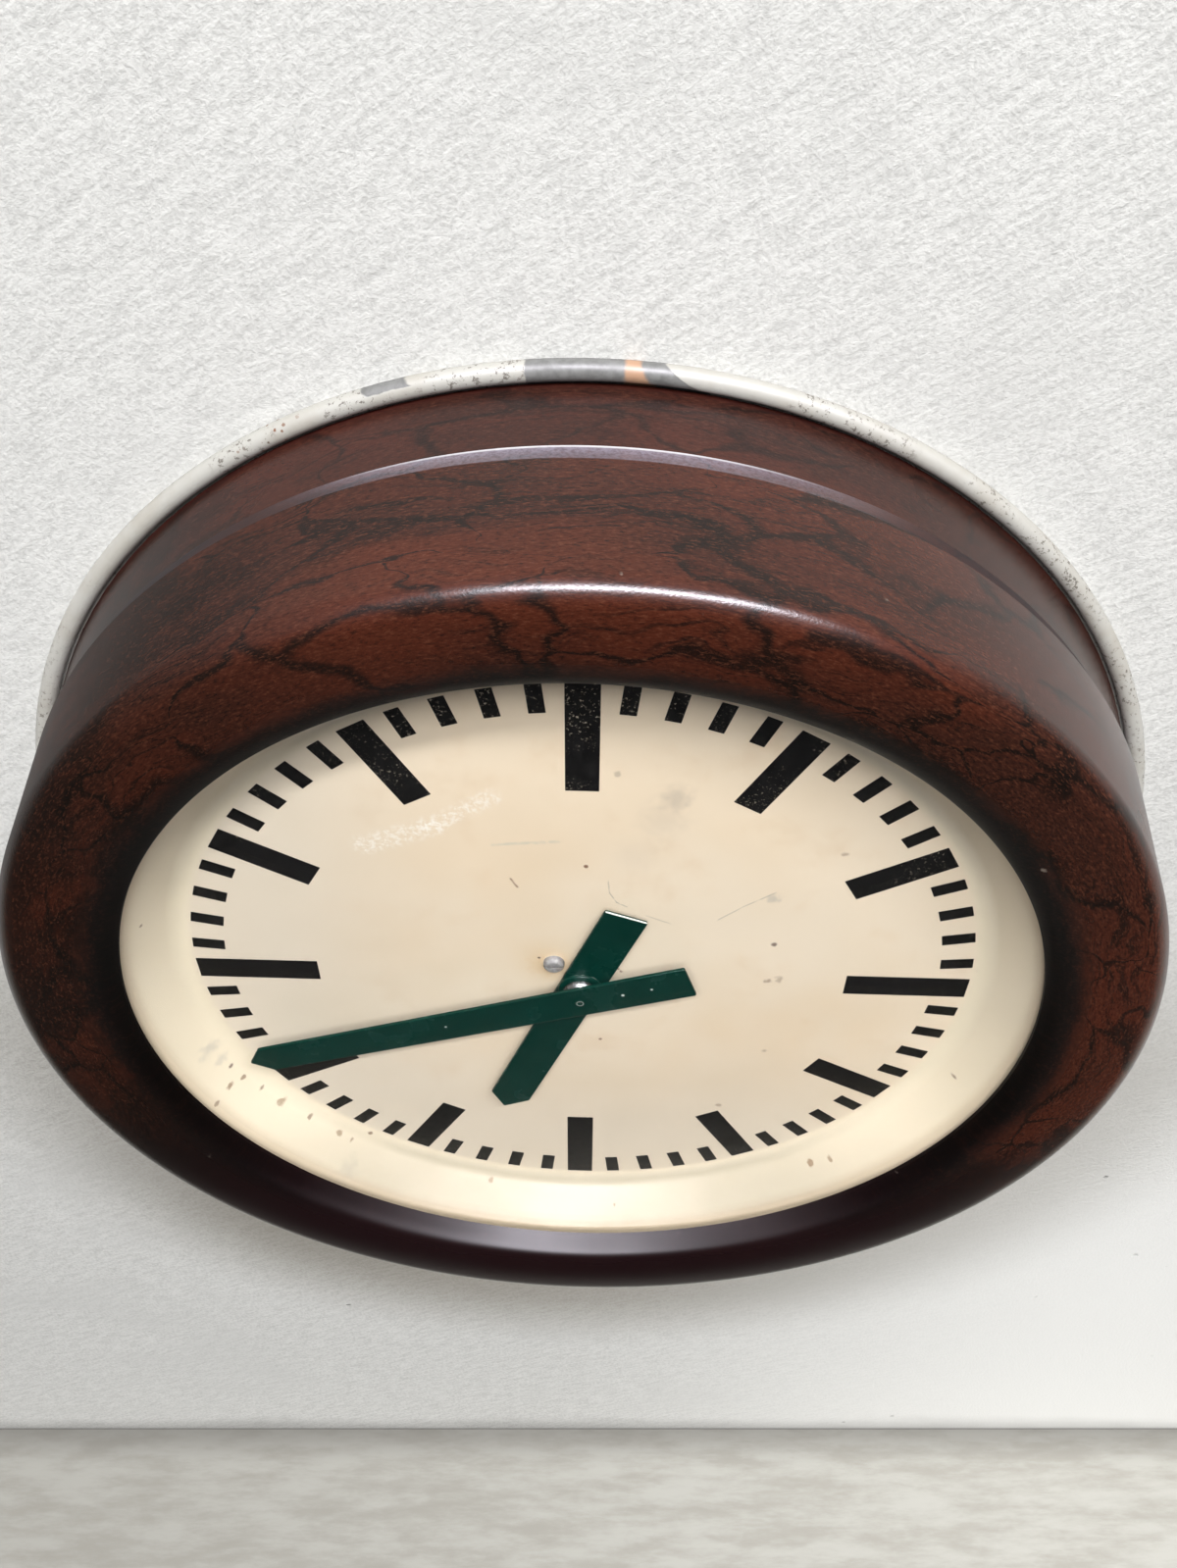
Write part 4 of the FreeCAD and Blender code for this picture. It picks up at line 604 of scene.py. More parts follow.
def makeEnamel():
    material, tree, shader = newMaterial("agedEnamel", IOR=1.5)
    place = objectPlace(tree)
    ring = useGroup(tree, ringGroup, Place=place)
    broad = noise(tree, place, 11.0, 3.0, 0.55).outputs["Fac"]
    color = blend(tree, fade(tree, broad, 0.35, 0.68), dialLook["cream"], dialLook["pale"])
    height = addNode(tree, "SeparateXYZ", {0: place}).outputs["Z"]
    # painted light: the upper dial paler towards the top
    color = blend(tree, fade(tree, height, 0.02, 0.10, 0.0, 0.8), color, dialLook["bright"])
    blotch = noise(tree, place, 48.0, 4.0, 0.6).outputs["Fac"]
    color = blend(tree, fade(tree, blotch, 0.52, 0.80, 0.0, 0.35), color, dialLook["tan"])
    # painted shade: greyer towards the bottom and the left
    color = blend(tree, fade(tree, height, -0.02, -0.09, 0.0, 0.75), color, dialLook["grey"])
    across = addNode(tree, "SeparateXYZ", {0: place}).outputs["X"]
    color = blend(tree, fade(tree, across, -0.025, -0.09, 0.0, 0.85), color, dialLook["grey"])
    rim = fade(tree, ring["Radius"], 0.1092, 0.1125)
    # the bottom of the rim painted darker to hold back the strong light that falls on it
    low = times(tree, fade(tree, height, -0.05, -0.11), fade(tree, ring["Radius"], 0.1105, 0.1155))
    rimTint = blend(tree, fade(tree, height, -0.03, -0.09), dialLook["rim"], dialLook["foot"])
    rimTint = blend(tree, low, rimTint, dialLook["lowRim"])
    # painted shade along the rim's outer edge, under the bezel's lip
    rimTint = blend(tree, fade(tree, ring["Radius"], 0.1225, 0.1255, 0.0, 0.45), rimTint, (0.42, 0.30, 0.19))
    color = blend(tree, rim, color, rimTint)
    for x, z, size, soft, tint, strength, ragged in dialStains:
        mask = useGroup(tree, spotGroup, Place=place, Centre=(x * mm, 0.0, z * mm), Size=size * mm, Soft=soft * mm,
                        Ragged=ragged)["Mask"]
        color = blend(tree, times(tree, mask, strength), color, tint)
    for x, z, toX, toZ, width, broken, tint, strength in dialLines:
        mask = useGroup(tree, lineGroup, Place=place, From=(x * mm, 0.0, z * mm), To=(toX * mm, 0.0, toZ * mm),
                        Width=width * mm, Broken=broken)["Mask"]
        color = blend(tree, times(tree, mask, strength), color, tint)
    specks = useGroup(tree, speckGroup, Place=place, Scale=90.0, Share=0.10, Size=0.05)["Mask"]
    color = blend(tree, times(tree, specks, 0.55), color, (0.22, 0.13, 0.08))
    rimSpecks = useGroup(tree, speckGroup, Place=place, Scale=170.0, Share=0.10, Size=0.09)["Mask"]
    color = blend(tree, times(tree, rimSpecks, rim, 0.8), color, (0.15, 0.08, 0.05))
    scratches = useGroup(tree, hairlineGroup, Place=place, Scale=16.0, Share=0.16)["Mask"]
    color = blend(tree, times(tree, scratches, 0.22), color, (0.42, 0.33, 0.25))
    rough = fade(tree, blotch, 0.3, 0.7, 0.30, 0.46)
    wave = noise(tree, place, 160.0, 3.0, 0.6).outputs["Fac"]
    link(tree, shader, Base_Color=color, Roughness=rough, Normal=bump(tree, wave, 0.12, 0.1 * mm))
    return material


def makeDial(shape):
    back, rimFront = levels("dial")
    face = back + shape["sheet"]
    lean = atan2(rimFront - face, shape["rimTop"] - shape["flat"])
    shift = shape["sheet"] * tan(lean / 2)
    section = [
        (shape["hole"], face),
        (shape["flat"], face, shape["foot"]),
        (shape["rimTop"], rimFront, shape["topBend"]),
        (shape["rim"], rimFront),
        (shape["rim"], rimFront - shape["sheet"]),
        (shape["rimTop"] + shift, rimFront - shape["sheet"], shape["topBend"] - shape["sheet"]),
        (shape["flat"] + shift, back, shape["foot"] + shape["sheet"]),
        (shape["hole"], back),
    ]
    dial = turnedPiece("enamelDial", roundedOutline(section, 10), 288)
    settle(dial, makeEnamel(), "case", "dial_enamel", "dial")
    return face


dialFace = makeDial(dialShape)
print("dial ready")


# Printed marks, a thin film of ink on the dial

markShape = {"film": 0.06 * mm, "edge": 0.02 * mm, "corner": 0.12 * mm,
             "kinds": {"quarterMarks": {"inner": 75.5 * mm, "outer": 110.3 * mm, "width": 8.4 * mm, "first": 0.0},
                       "hourMarks": {"inner": 82.0 * mm, "outer": 110.1 * mm, "width": 8.1 * mm, "first": 30.0},
                       "minuteMarks": {"inner": 101.2 * mm, "outer": 110.2 * mm, "width": 4.1 * mm, "first": 6.0}},
             "spreads": {"quarterMarks": ((4, 90.0),), "hourMarks": ((2, 30.0), (4, 90.0)),
                         "minuteMarks": ((4, 6.0), (12, 30.0))}}


def makeInk():
    material, tree, shader = newMaterial("markInk", IOR=1.2)
    place = objectPlace(tree)
    worn = fade(tree, noise(tree, place, 1300.0, 3.0, 0.7).outputs["Fac"], 0.60, 0.68)
    axes = addNode(tree, "SeparateXYZ", {0: place}).outputs
    centre = fade(tree, math(tree, "ABSOLUTE", math(tree, "ADD", axes["X"], 0.012)), 0.055, 0.025)
    patch = fade(tree, noise(tree, place, 60.0, 3.0).outputs["Fac"], 0.50, 0.60)
    where = most(tree, times(tree, fade(tree, axes["Z"], 0.085, 0.10), centre),
                 times(tree, fade(tree, axes["Z"], 0.0, 0.06), patch, 0.45))
    tone = noise(tree, place, 300.0, 3.0, 0.6).outputs["Fac"]
    color = blend(tree, fade(tree, tone, 0.35, 0.75), (0.001, 0.001, 0.001), (0.004, 0.0038, 0.0036))
    color = blend(tree, times(tree, worn, where, 0.85), color, (0.48, 0.42, 0.33))
    link(tree, shader, Base_Color=color, Roughness=fade(tree, tone, 0.3, 0.7, 0.38, 0.55))
    return material


def makeMarks(shape):
    ink = makeInk()
    for name, kind in shape["kinds"].items():
        half = kind["width"] / 2
        corner = shape["corner"]
        outline = roundedOutline([(half, kind["inner"], corner), (half, kind["outer"], corner),
                                  (-half, kind["outer"], corner), (-half, kind["inner"], corner)], 3)
        marks = sheetPiece(name, outline, radians(kind["first"]), dialFace, dialFace + shape["film"], shape["edge"])
        for count, step in shape["spreads"][name]:
            spreadRound(marks, count, step)
        settle(marks, ink, "case", "dial_enamel")


makeMarks(markShape)
print("marks ready")


# Hands: painted strips with broken edges

handShapes = {
    "hourHand": {"node": "hour_hand", "body": "hour", "angle": 200.875, "reach": 67.9 * mm, "tail": 34.2 * mm,
                 "tipWidth": 12.5 * mm, "tailWidth": 12.5 * mm},
    "minuteHand": {"node": "minute_hand", "body": "minute", "angle": 250.5, "reach": 105.7 * mm, "tail": 32.4 * mm,
                   "tipWidth": 11.0 * mm, "tailWidth": 12.3 * mm},
}
handLook = {"green": (0.0008, 0.024, 0.017), "light": (0.0012, 0.029, 0.021), "bare": (0.62, 0.65, 0.61),
            "corner": 0.6 * mm, "edge": 0.22 * mm, "tailFrom": 33.98 * mm, "tailTo": 34.1 * mm, "tailEdge": 0.5 * mm}
handSpecks = ((-38.9, -13.4, 0.38), (12.0, 4.3, 0.42), (19.9, 7.3, 0.38))


def makeHandPaint():
    material, tree, shader = newMaterial("handGreen", IOR=1.25)
    place = objectPlace(tree)
    tone = noise(tree, place, 70.0, 4.0, 0.6).outputs["Fac"]
    color = blend(tree, fade(tree, tone, 0.35, 0.7), handLook["green"], handLook["light"])
    worn = useGroup(tree, edgeGroup, Place=place, Width=0.35 * mm, Scale=260.0, Share=0.42)["Mask"]
    color = blend(tree, times(tree, worn, 0.85), color, handLook["bare"])
    for x, z, size in handSpecks:
        mask = useGroup(tree, spotGroup, Place=place, Centre=(x * mm, 0.0, z * mm), Size=size * mm, Soft=0.12 * mm)["Mask"]
        color = blend(tree, times(tree, mask, 0.9), color, (0.80, 0.82, 0.78))
    # the end face of the hour hand's tail in the bare colour, part bare metal and part painted highlight
    lean = radians(handShapes["hourHand"]["angle"])
    tail = addNode(tree, "VectorMath", {0: place, 1: (-sin(lean), 0.0, -cos(lean))}, operation="DOT_PRODUCT").outputs["Value"]
    ring = useGroup(tree, ringGroup, Place=place)
    face = levels(handShapes["hourHand"]["node"])[1]
    front = fade(tree, ring["Out"], face - handLook["tailEdge"], face - 0.8 * handLook["tailEdge"])
    tailEndWearAndHighlight = times(tree, front, fade(tree, tail, handLook["tailFrom"], handLook["tailTo"]))
    color = blend(tree, tailEndWearAndHighlight, color, handLook["bare"])
    rivetEdge = between(tree, ring["Radius"], 0.85 * mm, 1.05 * mm, 0.08 * mm)
    color = blend(tree, times(tree, rivetEdge, 0.6), color, handLook["bare"])
    scratches = useGroup(tree, hairlineGroup, Place=place, Scale=60.0, Share=0.10)["Mask"]
    color = blend(tree, times(tree, scratches, 0.15), color, (0.20, 0.26, 0.23))
    rough = fade(tree, tone, 0.3, 0.7, 0.24, 0.28)
    peel = noise(tree, place, 420.0, 2.0).outputs["Fac"]
    link(tree, shader, Base_Color=color, Roughness=rough, Normal=bump(tree, peel, 0.10, 0.08 * mm))
    return material


handPaint = makeHandPaint()


def makeHand(name, shape):
    back, front = levels(shape["node"])
    shoulder = shape["reach"] - shape["tipWidth"] / 2
    corner = handLook["corner"]
    outline = roundedOutline([
        (shape["tailWidth"] / 2, -shape["tail"], corner),
        (shape["tipWidth"] / 2, shoulder, corner),
        (0.0, shape["reach"], corner),
        (-shape["tipWidth"] / 2, shoulder, corner),
        (-shape["tailWidth"] / 2, -shape["tail"], corner),
    ], 4)
    hand = sheetPiece(name, outline, radians(shape["angle"]), back, front, handLook["edge"])
    settle(hand, handPaint, shape["body"], "hand_green", shape["node"])


for handName, handShape in handShapes.items():
    makeHand(handName, handShape)
print("hands ready")


# Metals and the other finishes of the inner pieces

def makeMetal(name, look):
    material, tree, shader = newMaterial(name, Metallic=1.0)
    place = objectPlace(tree)
    tone = noise(tree, place, look["scale"], 4.0, 0.6).outputs["Fac"]
    color = blend(tree, fade(tree, tone, 0.35, 0.7), look["tint"], look["deep"])
    stain = noise(tree, place, look["scale"] * 0.4, 5.0, 0.65).outputs["Fac"]
    dull = fade(tree, stain, 0.50, 0.72, 0.0, look["stainShare"])
    color = blend(tree, dull, color, look["stain"])
    rubbed = useGroup(tree, edgeGroup, Place=place, Width=0.25 * mm, Scale=700.0, Share=0.6)["Mask"]
    color = blend(tree, times(tree, rubbed, 0.5), color, look["bright"])
    scratches = useGroup(tree, hairlineGroup, Place=place, Scale=90.0, Share=0.5)["Mask"]
    rough = math(tree, "ADD", fade(tree, tone, 0.3, 0.7, look["gloss"], look["gloss"] + 0.16),
                 math(tree, "ADD", times(tree, dull, 0.25), times(tree, scratches, 0.15)), clamp=True)
    metal = fade(tree, dull, 0.2, 1.0, 1.0, 0.3)
    grain = noise(tree, stretched(tree, place, look["grain"]), 900.0, 2.0).outputs["Fac"]
    link(tree, shader, Base_Color=color, Roughness=rough, Metallic=metal, Normal=bump(tree, grain, look["bite"], 0.05 * mm))
    return material


metalLooks = {
    "brightSteel": {"tint": (0.56, 0.56, 0.57), "deep": (0.42, 0.42, 0.43), "stain": (0.18, 0.14, 0.11), "bright": (0.8, 0.8, 0.8),
                    "stainShare": 0.35, "scale": 120.0, "gloss": 0.20, "grain": (1.0, 1.0, 1.0), "bite": 0.08},
    "polishedSteel": {"tint": (0.32, 0.33, 0.33), "deep": (0.26, 0.27, 0.27), "stain": (0.05, 0.05, 0.05), "bright": (0.5, 0.5, 0.5),
                      "stainShare": 0.6, "scale": 160.0, "gloss": 0.08, "grain": (1.0, 1.0, 1.0), "bite": 0.04},
    "dullSteel": {"tint": (0.21, 0.21, 0.20), "deep": (0.10, 0.10, 0.095), "stain": (0.16, 0.145, 0.12), "bright": (0.25, 0.25, 0.235),
                  "stainShare": 1.0, "scale": 900.0, "gloss": 0.68, "grain": (1.0, 1.0, 1.0), "bite": 0.4},
    "zincSteel": {"tint": (0.50, 0.51, 0.50), "deep": (0.36, 0.37, 0.38), "stain": (0.24, 0.17, 0.11), "bright": (0.7, 0.7, 0.7),
                  "stainShare": 0.55, "scale": 90.0, "gloss": 0.34, "grain": (1.0, 1.0, 1.0), "bite": 0.15},
    "agedBrass": {"tint": (0.62, 0.44, 0.17), "deep": (0.46, 0.30, 0.11), "stain": (0.14, 0.085, 0.035), "bright": (0.85, 0.68, 0.36),
                  "stainShare": 0.5, "scale": 80.0, "gloss": 0.24, "grain": (1.0, 1.0, 8.0), "bite": 0.10},
    "oiledIron": {"tint": (0.16, 0.16, 0.17), "deep": (0.10, 0.10, 0.10), "stain": (0.10, 0.055, 0.03), "bright": (0.4, 0.4, 0.4),
                  "stainShare": 0.5, "scale": 110.0, "gloss": 0.40, "grain": (1.0, 10.0, 1.0), "bite": 0.20},
    "darkMagnet": {"tint": (0.075, 0.075, 0.08), "deep": (0.045, 0.045, 0.05), "stain": (0.06, 0.04, 0.03), "bright": (0.2, 0.2, 0.2),
                   "stainShare": 0.3, "scale": 200.0, "gloss": 0.46, "grain": (1.0, 1.0, 1.0), "bite": 0.25},
}
metals = {name: makeMetal(name, look) for name, look in metalLooks.items()}


def makeDull(name, look):
    material, tree, shader = newMaterial(name)
    place = objectPlace(tree)
    fibre = noise(tree, stretched(tree, place, look["grain"]), look["scale"], 4.0, 0.65).outputs["Fac"]
    color = blend(tree, fade(tree, fibre, 0.3, 0.7), look["tint"], look["deep"])
    dust = useGroup(tree, speckGroup, Place=place, Scale=260.0, Share=0.12, Size=0.10)["Mask"]
    color = blend(tree, times(tree, dust, 0.4), color, (0.42, 0.40, 0.37))
    rubbed = useGroup(tree, edgeGroup, Place=place, Width=0.3 * mm, Scale=500.0, Share=0.5)["Mask"]
    color = blend(tree, times(tree, rubbed, 0.4), color, look["worn"])
    rough = fade(tree, fibre, 0.3, 0.7, look["gloss"], look["gloss"] + 0.14)
    link(tree, shader, Base_Color=color, Roughness=rough, Normal=bump(tree, fibre, look["bite"], 0.1 * mm))
    return material


dullLooks = {
    "greySeal": {"tint": (0.26, 0.25, 0.24), "deep": (0.16, 0.155, 0.15), "worn": (0.4, 0.39, 0.37), "scale": 300.0,
                 "grain": (1.0, 1.0, 1.0), "gloss": 0.55, "bite": 0.2},
    "blackRubber": {"tint": (0.024, 0.024, 0.024), "deep": (0.014, 0.014, 0.014), "worn": (0.09, 0.09, 0.09), "scale": 400.0,
                    "grain": (1.0, 1.0, 1.0), "gloss": 0.55, "bite": 0.25},
    "brownFibre": {"tint": (0.36, 0.21, 0.10), "deep": (0.24, 0.13, 0.06), "worn": (0.52, 0.36, 0.2), "scale": 260.0,
                   "grain": (1.0, 1.0, 7.0), "gloss": 0.55, "bite": 0.3},
    "redLead": {"tint": (0.42, 0.04, 0.03), "deep": (0.26, 0.025, 0.02), "worn": (0.5, 0.12, 0.09), "scale": 500.0,
                "grain": (1.0, 1.0, 1.0), "gloss": 0.40, "bite": 0.12},
    "blackBakelite": {"tint": (0.034, 0.024, 0.021), "deep": (0.016, 0.012, 0.011), "worn": (0.12, 0.08, 0.06), "scale": 120.0,
                      "grain": (1.0, 1.0, 3.0), "gloss": 0.28, "bite": 0.08},
}
dulls = {name: makeDull(name, look) for name, look in dullLooks.items()}


def makeWinding():
    # close turns of varnished wire round the coil axis
    material, tree, shader = newMaterial("varnishedWinding", IOR=1.5)
    place = objectPlace(tree)
    inputs = {"Vector": place, "Scale": 900.0, "Distortion": 0.4, "Detail": 1.0}
    turns = addNode(tree, "TexWave", inputs, wave_type="BANDS", bands_direction="X").outputs["Fac"]
    tone = noise(tree, stretched(tree, place, (6.0, 1.0, 1.0)), 120.0, 3.0).outputs["Fac"]
    color = blend(tree, fade(tree, turns, 0.1, 0.7), (0.09, 0.022, 0.012), (0.34, 0.105, 0.045))
    color = blend(tree, fade(tree, tone, 0.45, 0.75, 0.0, 0.5), color, (0.16, 0.05, 0.025))
    link(tree, shader, Base_Color=color, Roughness=fade(tree, tone, 0.3, 0.7, 0.26, 0.42),
         Normal=bump(tree, turns, 0.6, 0.12 * mm))
    return material


def makeGlass():
    # clear for the eye, open for light and shadows
    material, tree, shader = newMaterial("clearGlass", IOR=1.46, Transmission_Weight=1.0)
    place = objectPlace(tree)
    smear = noise(tree, stretched(tree, place, (1.0, 1.0, 2.5)), 18.0, 4.0, 0.6).outputs["Fac"]
    tint = blend(tree, fade(tree, smear, 0.3, 0.7), (0.992, 0.992, 0.990), (0.975, 0.975, 0.970))
    link(tree, shader, Base_Color=tint, Roughness=fade(tree, smear, 0.55, 0.85, 0.0, 0.02))
    rays = addNode(tree, "LightPath").outputs
    opened = math(tree, "MAXIMUM", rays["Is Shadow Ray"], rays["Is Diffuse Ray"])
    clear = addNode(tree, "BsdfTransparent", {"Color": (0.95, 0.95, 0.94, 1.0)}).outputs[0]
    either = addNode(tree, "MixShader", {0: opened, 1: shader.outputs[0], 2: clear})
    tree.links.new(either.outputs[0], tree.nodes["Material Output"].inputs["Surface"])
    return material


plateLook = {"white": (0.40, 0.39, 0.36), "cream": (0.345, 0.325, 0.285), "bare": (0.17, 0.17, 0.165), "tan": (0.42, 0.24, 0.14),
             "rust": (0.16, 0.07, 0.035), "bareFrom": -5.1, "bareTo": 8.6, "bareLean": 670.0, "tanFrom": 2.75, "tanTo": 4.85, "tanLean": 233.0, "foot": 161.5 * mm,
             "chipFrom": -17.8, "chipTo": -14.1, "chipOut": 164.3 * mm, "rustAngle": -27.4}


def makePlatePaint(look):
    material, tree, shader = newMaterial("oldPlatePaint")
    place = objectPlace(tree)
    ring = useGroup(tree, ringGroup, Place=place)
    ragged = math(tree, "SUBTRACT", noise(tree, place, 330.0, 3.0, 0.6).outputs["Fac"], 0.5)
    slant = math(tree, "MULTIPLY", math(tree, "SUBTRACT", ring["Radius"], look["chipOut"]), 400.0)
    angle = math(tree, "ADD", math(tree, "MULTIPLY_ADD", ragged, 0.6, ring["Angle"]), slant)
    tone = noise(tree, place, 60.0, 4.0, 0.6).outputs["Fac"]
    color = blend(tree, fade(tree, tone, 0.40, 0.72), look["white"], look["cream"])
    dots = useGroup(tree, speckGroup, Place=place, Scale=260.0, Share=0.10, Size=0.12)["Mask"]
    color = blend(tree, times(tree, dots, 0.75), color, (0.14, 0.11, 0.09))
    near = fade(tree, math(tree, "ABSOLUTE", math(tree, "SUBTRACT", ring["Angle"], look["rustAngle"])), 5.0, 1.0)
    spread = useGroup(tree, speckGroup, Place=place, Scale=520.0, Share=0.5, Size=0.22)["Mask"]
    color = blend(tree, times(tree, spread, near), color, look["rust"])
    flakes = fade(tree, noise(tree, place, 700.0, 5.0, 0.75).outputs["Fac"], 0.555, 0.60)
    patch = fade(tree, noise(tree, place, 45.0, 2.0).outputs["Fac"], 0.44, 0.56)
    color = blend(tree, times(tree, flakes, patch, 0.85), color, (0.10, 0.085, 0.07))
    above = math(tree, "SUBTRACT", ring["Radius"], look["foot"])
    straight = math(tree, "MULTIPLY_ADD", ragged, 0.5, ring["Angle"])
    bare = times(tree, fade(tree, straight, look["bareFrom"] - 0.1, look["bareFrom"] + 0.1),
                 fade(tree, math(tree, "MULTIPLY_ADD", above, look["bareLean"], straight), look["bareTo"] + 0.1, look["bareTo"] - 0.1))
    tan = times(tree, fade(tree, straight, look["tanFrom"] - 0.2, look["tanFrom"] + 0.2),
                fade(tree, math(tree, "MULTIPLY_ADD", above, look["tanLean"], straight), look["tanTo"] + 0.2, look["tanTo"] - 0.2))
    chip = times(tree, between(tree, angle, look["chipFrom"], look["chipTo"], 0.15),
                 fade(tree, math(tree, "MULTIPLY_ADD", ragged, 0.6 * mm, ring["Radius"]), look["chipOut"], look["chipOut"] + 0.3 * mm))
    metal = noise(tree, place, 400.0, 3.0, 0.6).outputs["Fac"]
    bareTone = blend(tree, fade(tree, metal, 0.35, 0.7), look["bare"], (0.12, 0.12, 0.115))
    bareTone = blend(tree, times(tree, tan, 0.85), bareTone, look["tan"])
    gone = times(tree, most(tree, bare, chip), fade(tree, ring["Radius"], look["foot"] - 4.0 * mm, look["foot"] - 2.0 * mm))
    color = blend(tree, gone, color, bareTone)
    rough = fade(tree, tone, 0.3, 0.7, 0.42, 0.60)
    height = math(tree, "SUBTRACT", times(tree, tone, 0.5), gone)
    link(tree, shader, Base_Color=color, Roughness=rough, Normal=bump(tree, height, 0.35, 0.15 * mm))
    return material


slotFinish = {"plate_paint": makePlatePaint(plateLook), "hand_green": handPaint, "clear_glass": makeGlass(),
              "winding": makeWinding(), "steel": metals["brightSteel"], "zinc_steel": metals["zincSteel"],
              "brass": metals["agedBrass"], "iron": metals["oiledIron"], "magnet": metals["darkMagnet"],
              "seal": dulls["greySeal"], "black_rubber": dulls["blackRubber"], "former": dulls["brownFibre"],
              "lead_cover": dulls["redLead"], "block_bakelite": dulls["blackBakelite"]}
for entry in frame["record"]["subparts"]:
    if entry["material_slot"] in slotFinish:
        nodes[entry["node"]].material_slots[0].material = slotFinish[entry["material_slot"]]
nodes["dial_screws"].material_slots[0].material = metals["dullSteel"]
print("finishes ready")


# Hub: washer, domed boss and the riveted end of the arbor

hubShape = {"washer": 6.4 * mm, "washerRound": 0.4 * mm, "bore": 1.5 * mm, "boss": 5.0 * mm, "bossTop": 3.4 * mm,
            "bossRim": 0.9 * mm, "bossRound": 1.4 * mm, "rivet": 1.5 * mm, "rivetDip": 0.7 * mm, "rivetHeight": 0.18 * mm}


def makeHub(shape):
    rear, front = levels("hour_washer")
    washer = turnedPiece("hourWasher", roundedOutline([
        (shape["bore"], rear), (shape["washer"], rear), (shape["washer"], front, shape["washerRound"]),
        (shape["bore"], front)]), 96)
    settle(washer, handPaint, "hour", "hand_green", "hour_washer")
    rear, front = levels("minute_boss")
    boss = turnedPiece("domedBoss", roundedOutline([
        (shape["bore"], rear), (shape["boss"], rear), (shape["boss"], rear + shape["bossRim"], 0.3 * mm),
        (shape["bossTop"], front, shape["bossRound"]), (shape["bore"], front)]), 96, 40.0)
    settle(boss, metals["polishedSteel"], "minute", "steel", "minute_boss")
    rear, front = levels("minute_hand")
    rivet = turnedPiece("arborRivet", roundedOutline([
        (0.3 * shape["rivetDip"], front - shape["rivetHeight"]), (shape["rivet"], front - shape["rivetHeight"]),
        (shape["rivet"], front + shape["rivetHeight"], 0.15 * mm), (shape["rivetDip"], front + shape["rivetHeight"], 0.05 * mm),
        (0.3 * shape["rivetDip"], front + 0.3 * shape["rivetHeight"])]), 48, 40.0)
    settle(rivet, handPaint, "minute", "hand_green")


makeHub(hubShape)
print("hub ready")


# Stage: a pale plastered wall that shows only from its front, and a pale floor well below

stageLook = {"wallTint": (0.635, 0.63, 0.61), "floorTint": (0.44, 0.43, 0.395), "floorStain": (0.355, 0.34, 0.305), "half": 3.0, "hole": 0.150,
             "floorLevel": -0.503, "wallGap": 0.2 * mm, "floorPale": -0.10, "floorDark": -0.36, "floorDeep": (0.005, 0.005, 0.005),
             "floorTilt": radians(-5.24), "strokeTurn": radians(33.0), "cornerShadeReach": 22.0 * mm, "jointLine": 3.5 * mm,
             "jointAndShadeTint": (0.12, 0.115, 0.105),
             "shadeCentre": (-0.002, 0.0, -0.108), "shadeInner": 0.205, "shadeOuter": 0.278, "shadeTint": (0.135, 0.11, 0.07)}


def finishStage(material, tree, shader):
    clear = addNode(tree, "BsdfTransparent").outputs[0]
    behind = addNode(tree, "NewGeometry").outputs["Backfacing"]
    either = addNode(tree, "MixShader", {0: behind, 1: shader.outputs[0], 2: clear})
    tree.links.new(either.outputs[0], tree.nodes["Material Output"].inputs["Surface"])
    return material


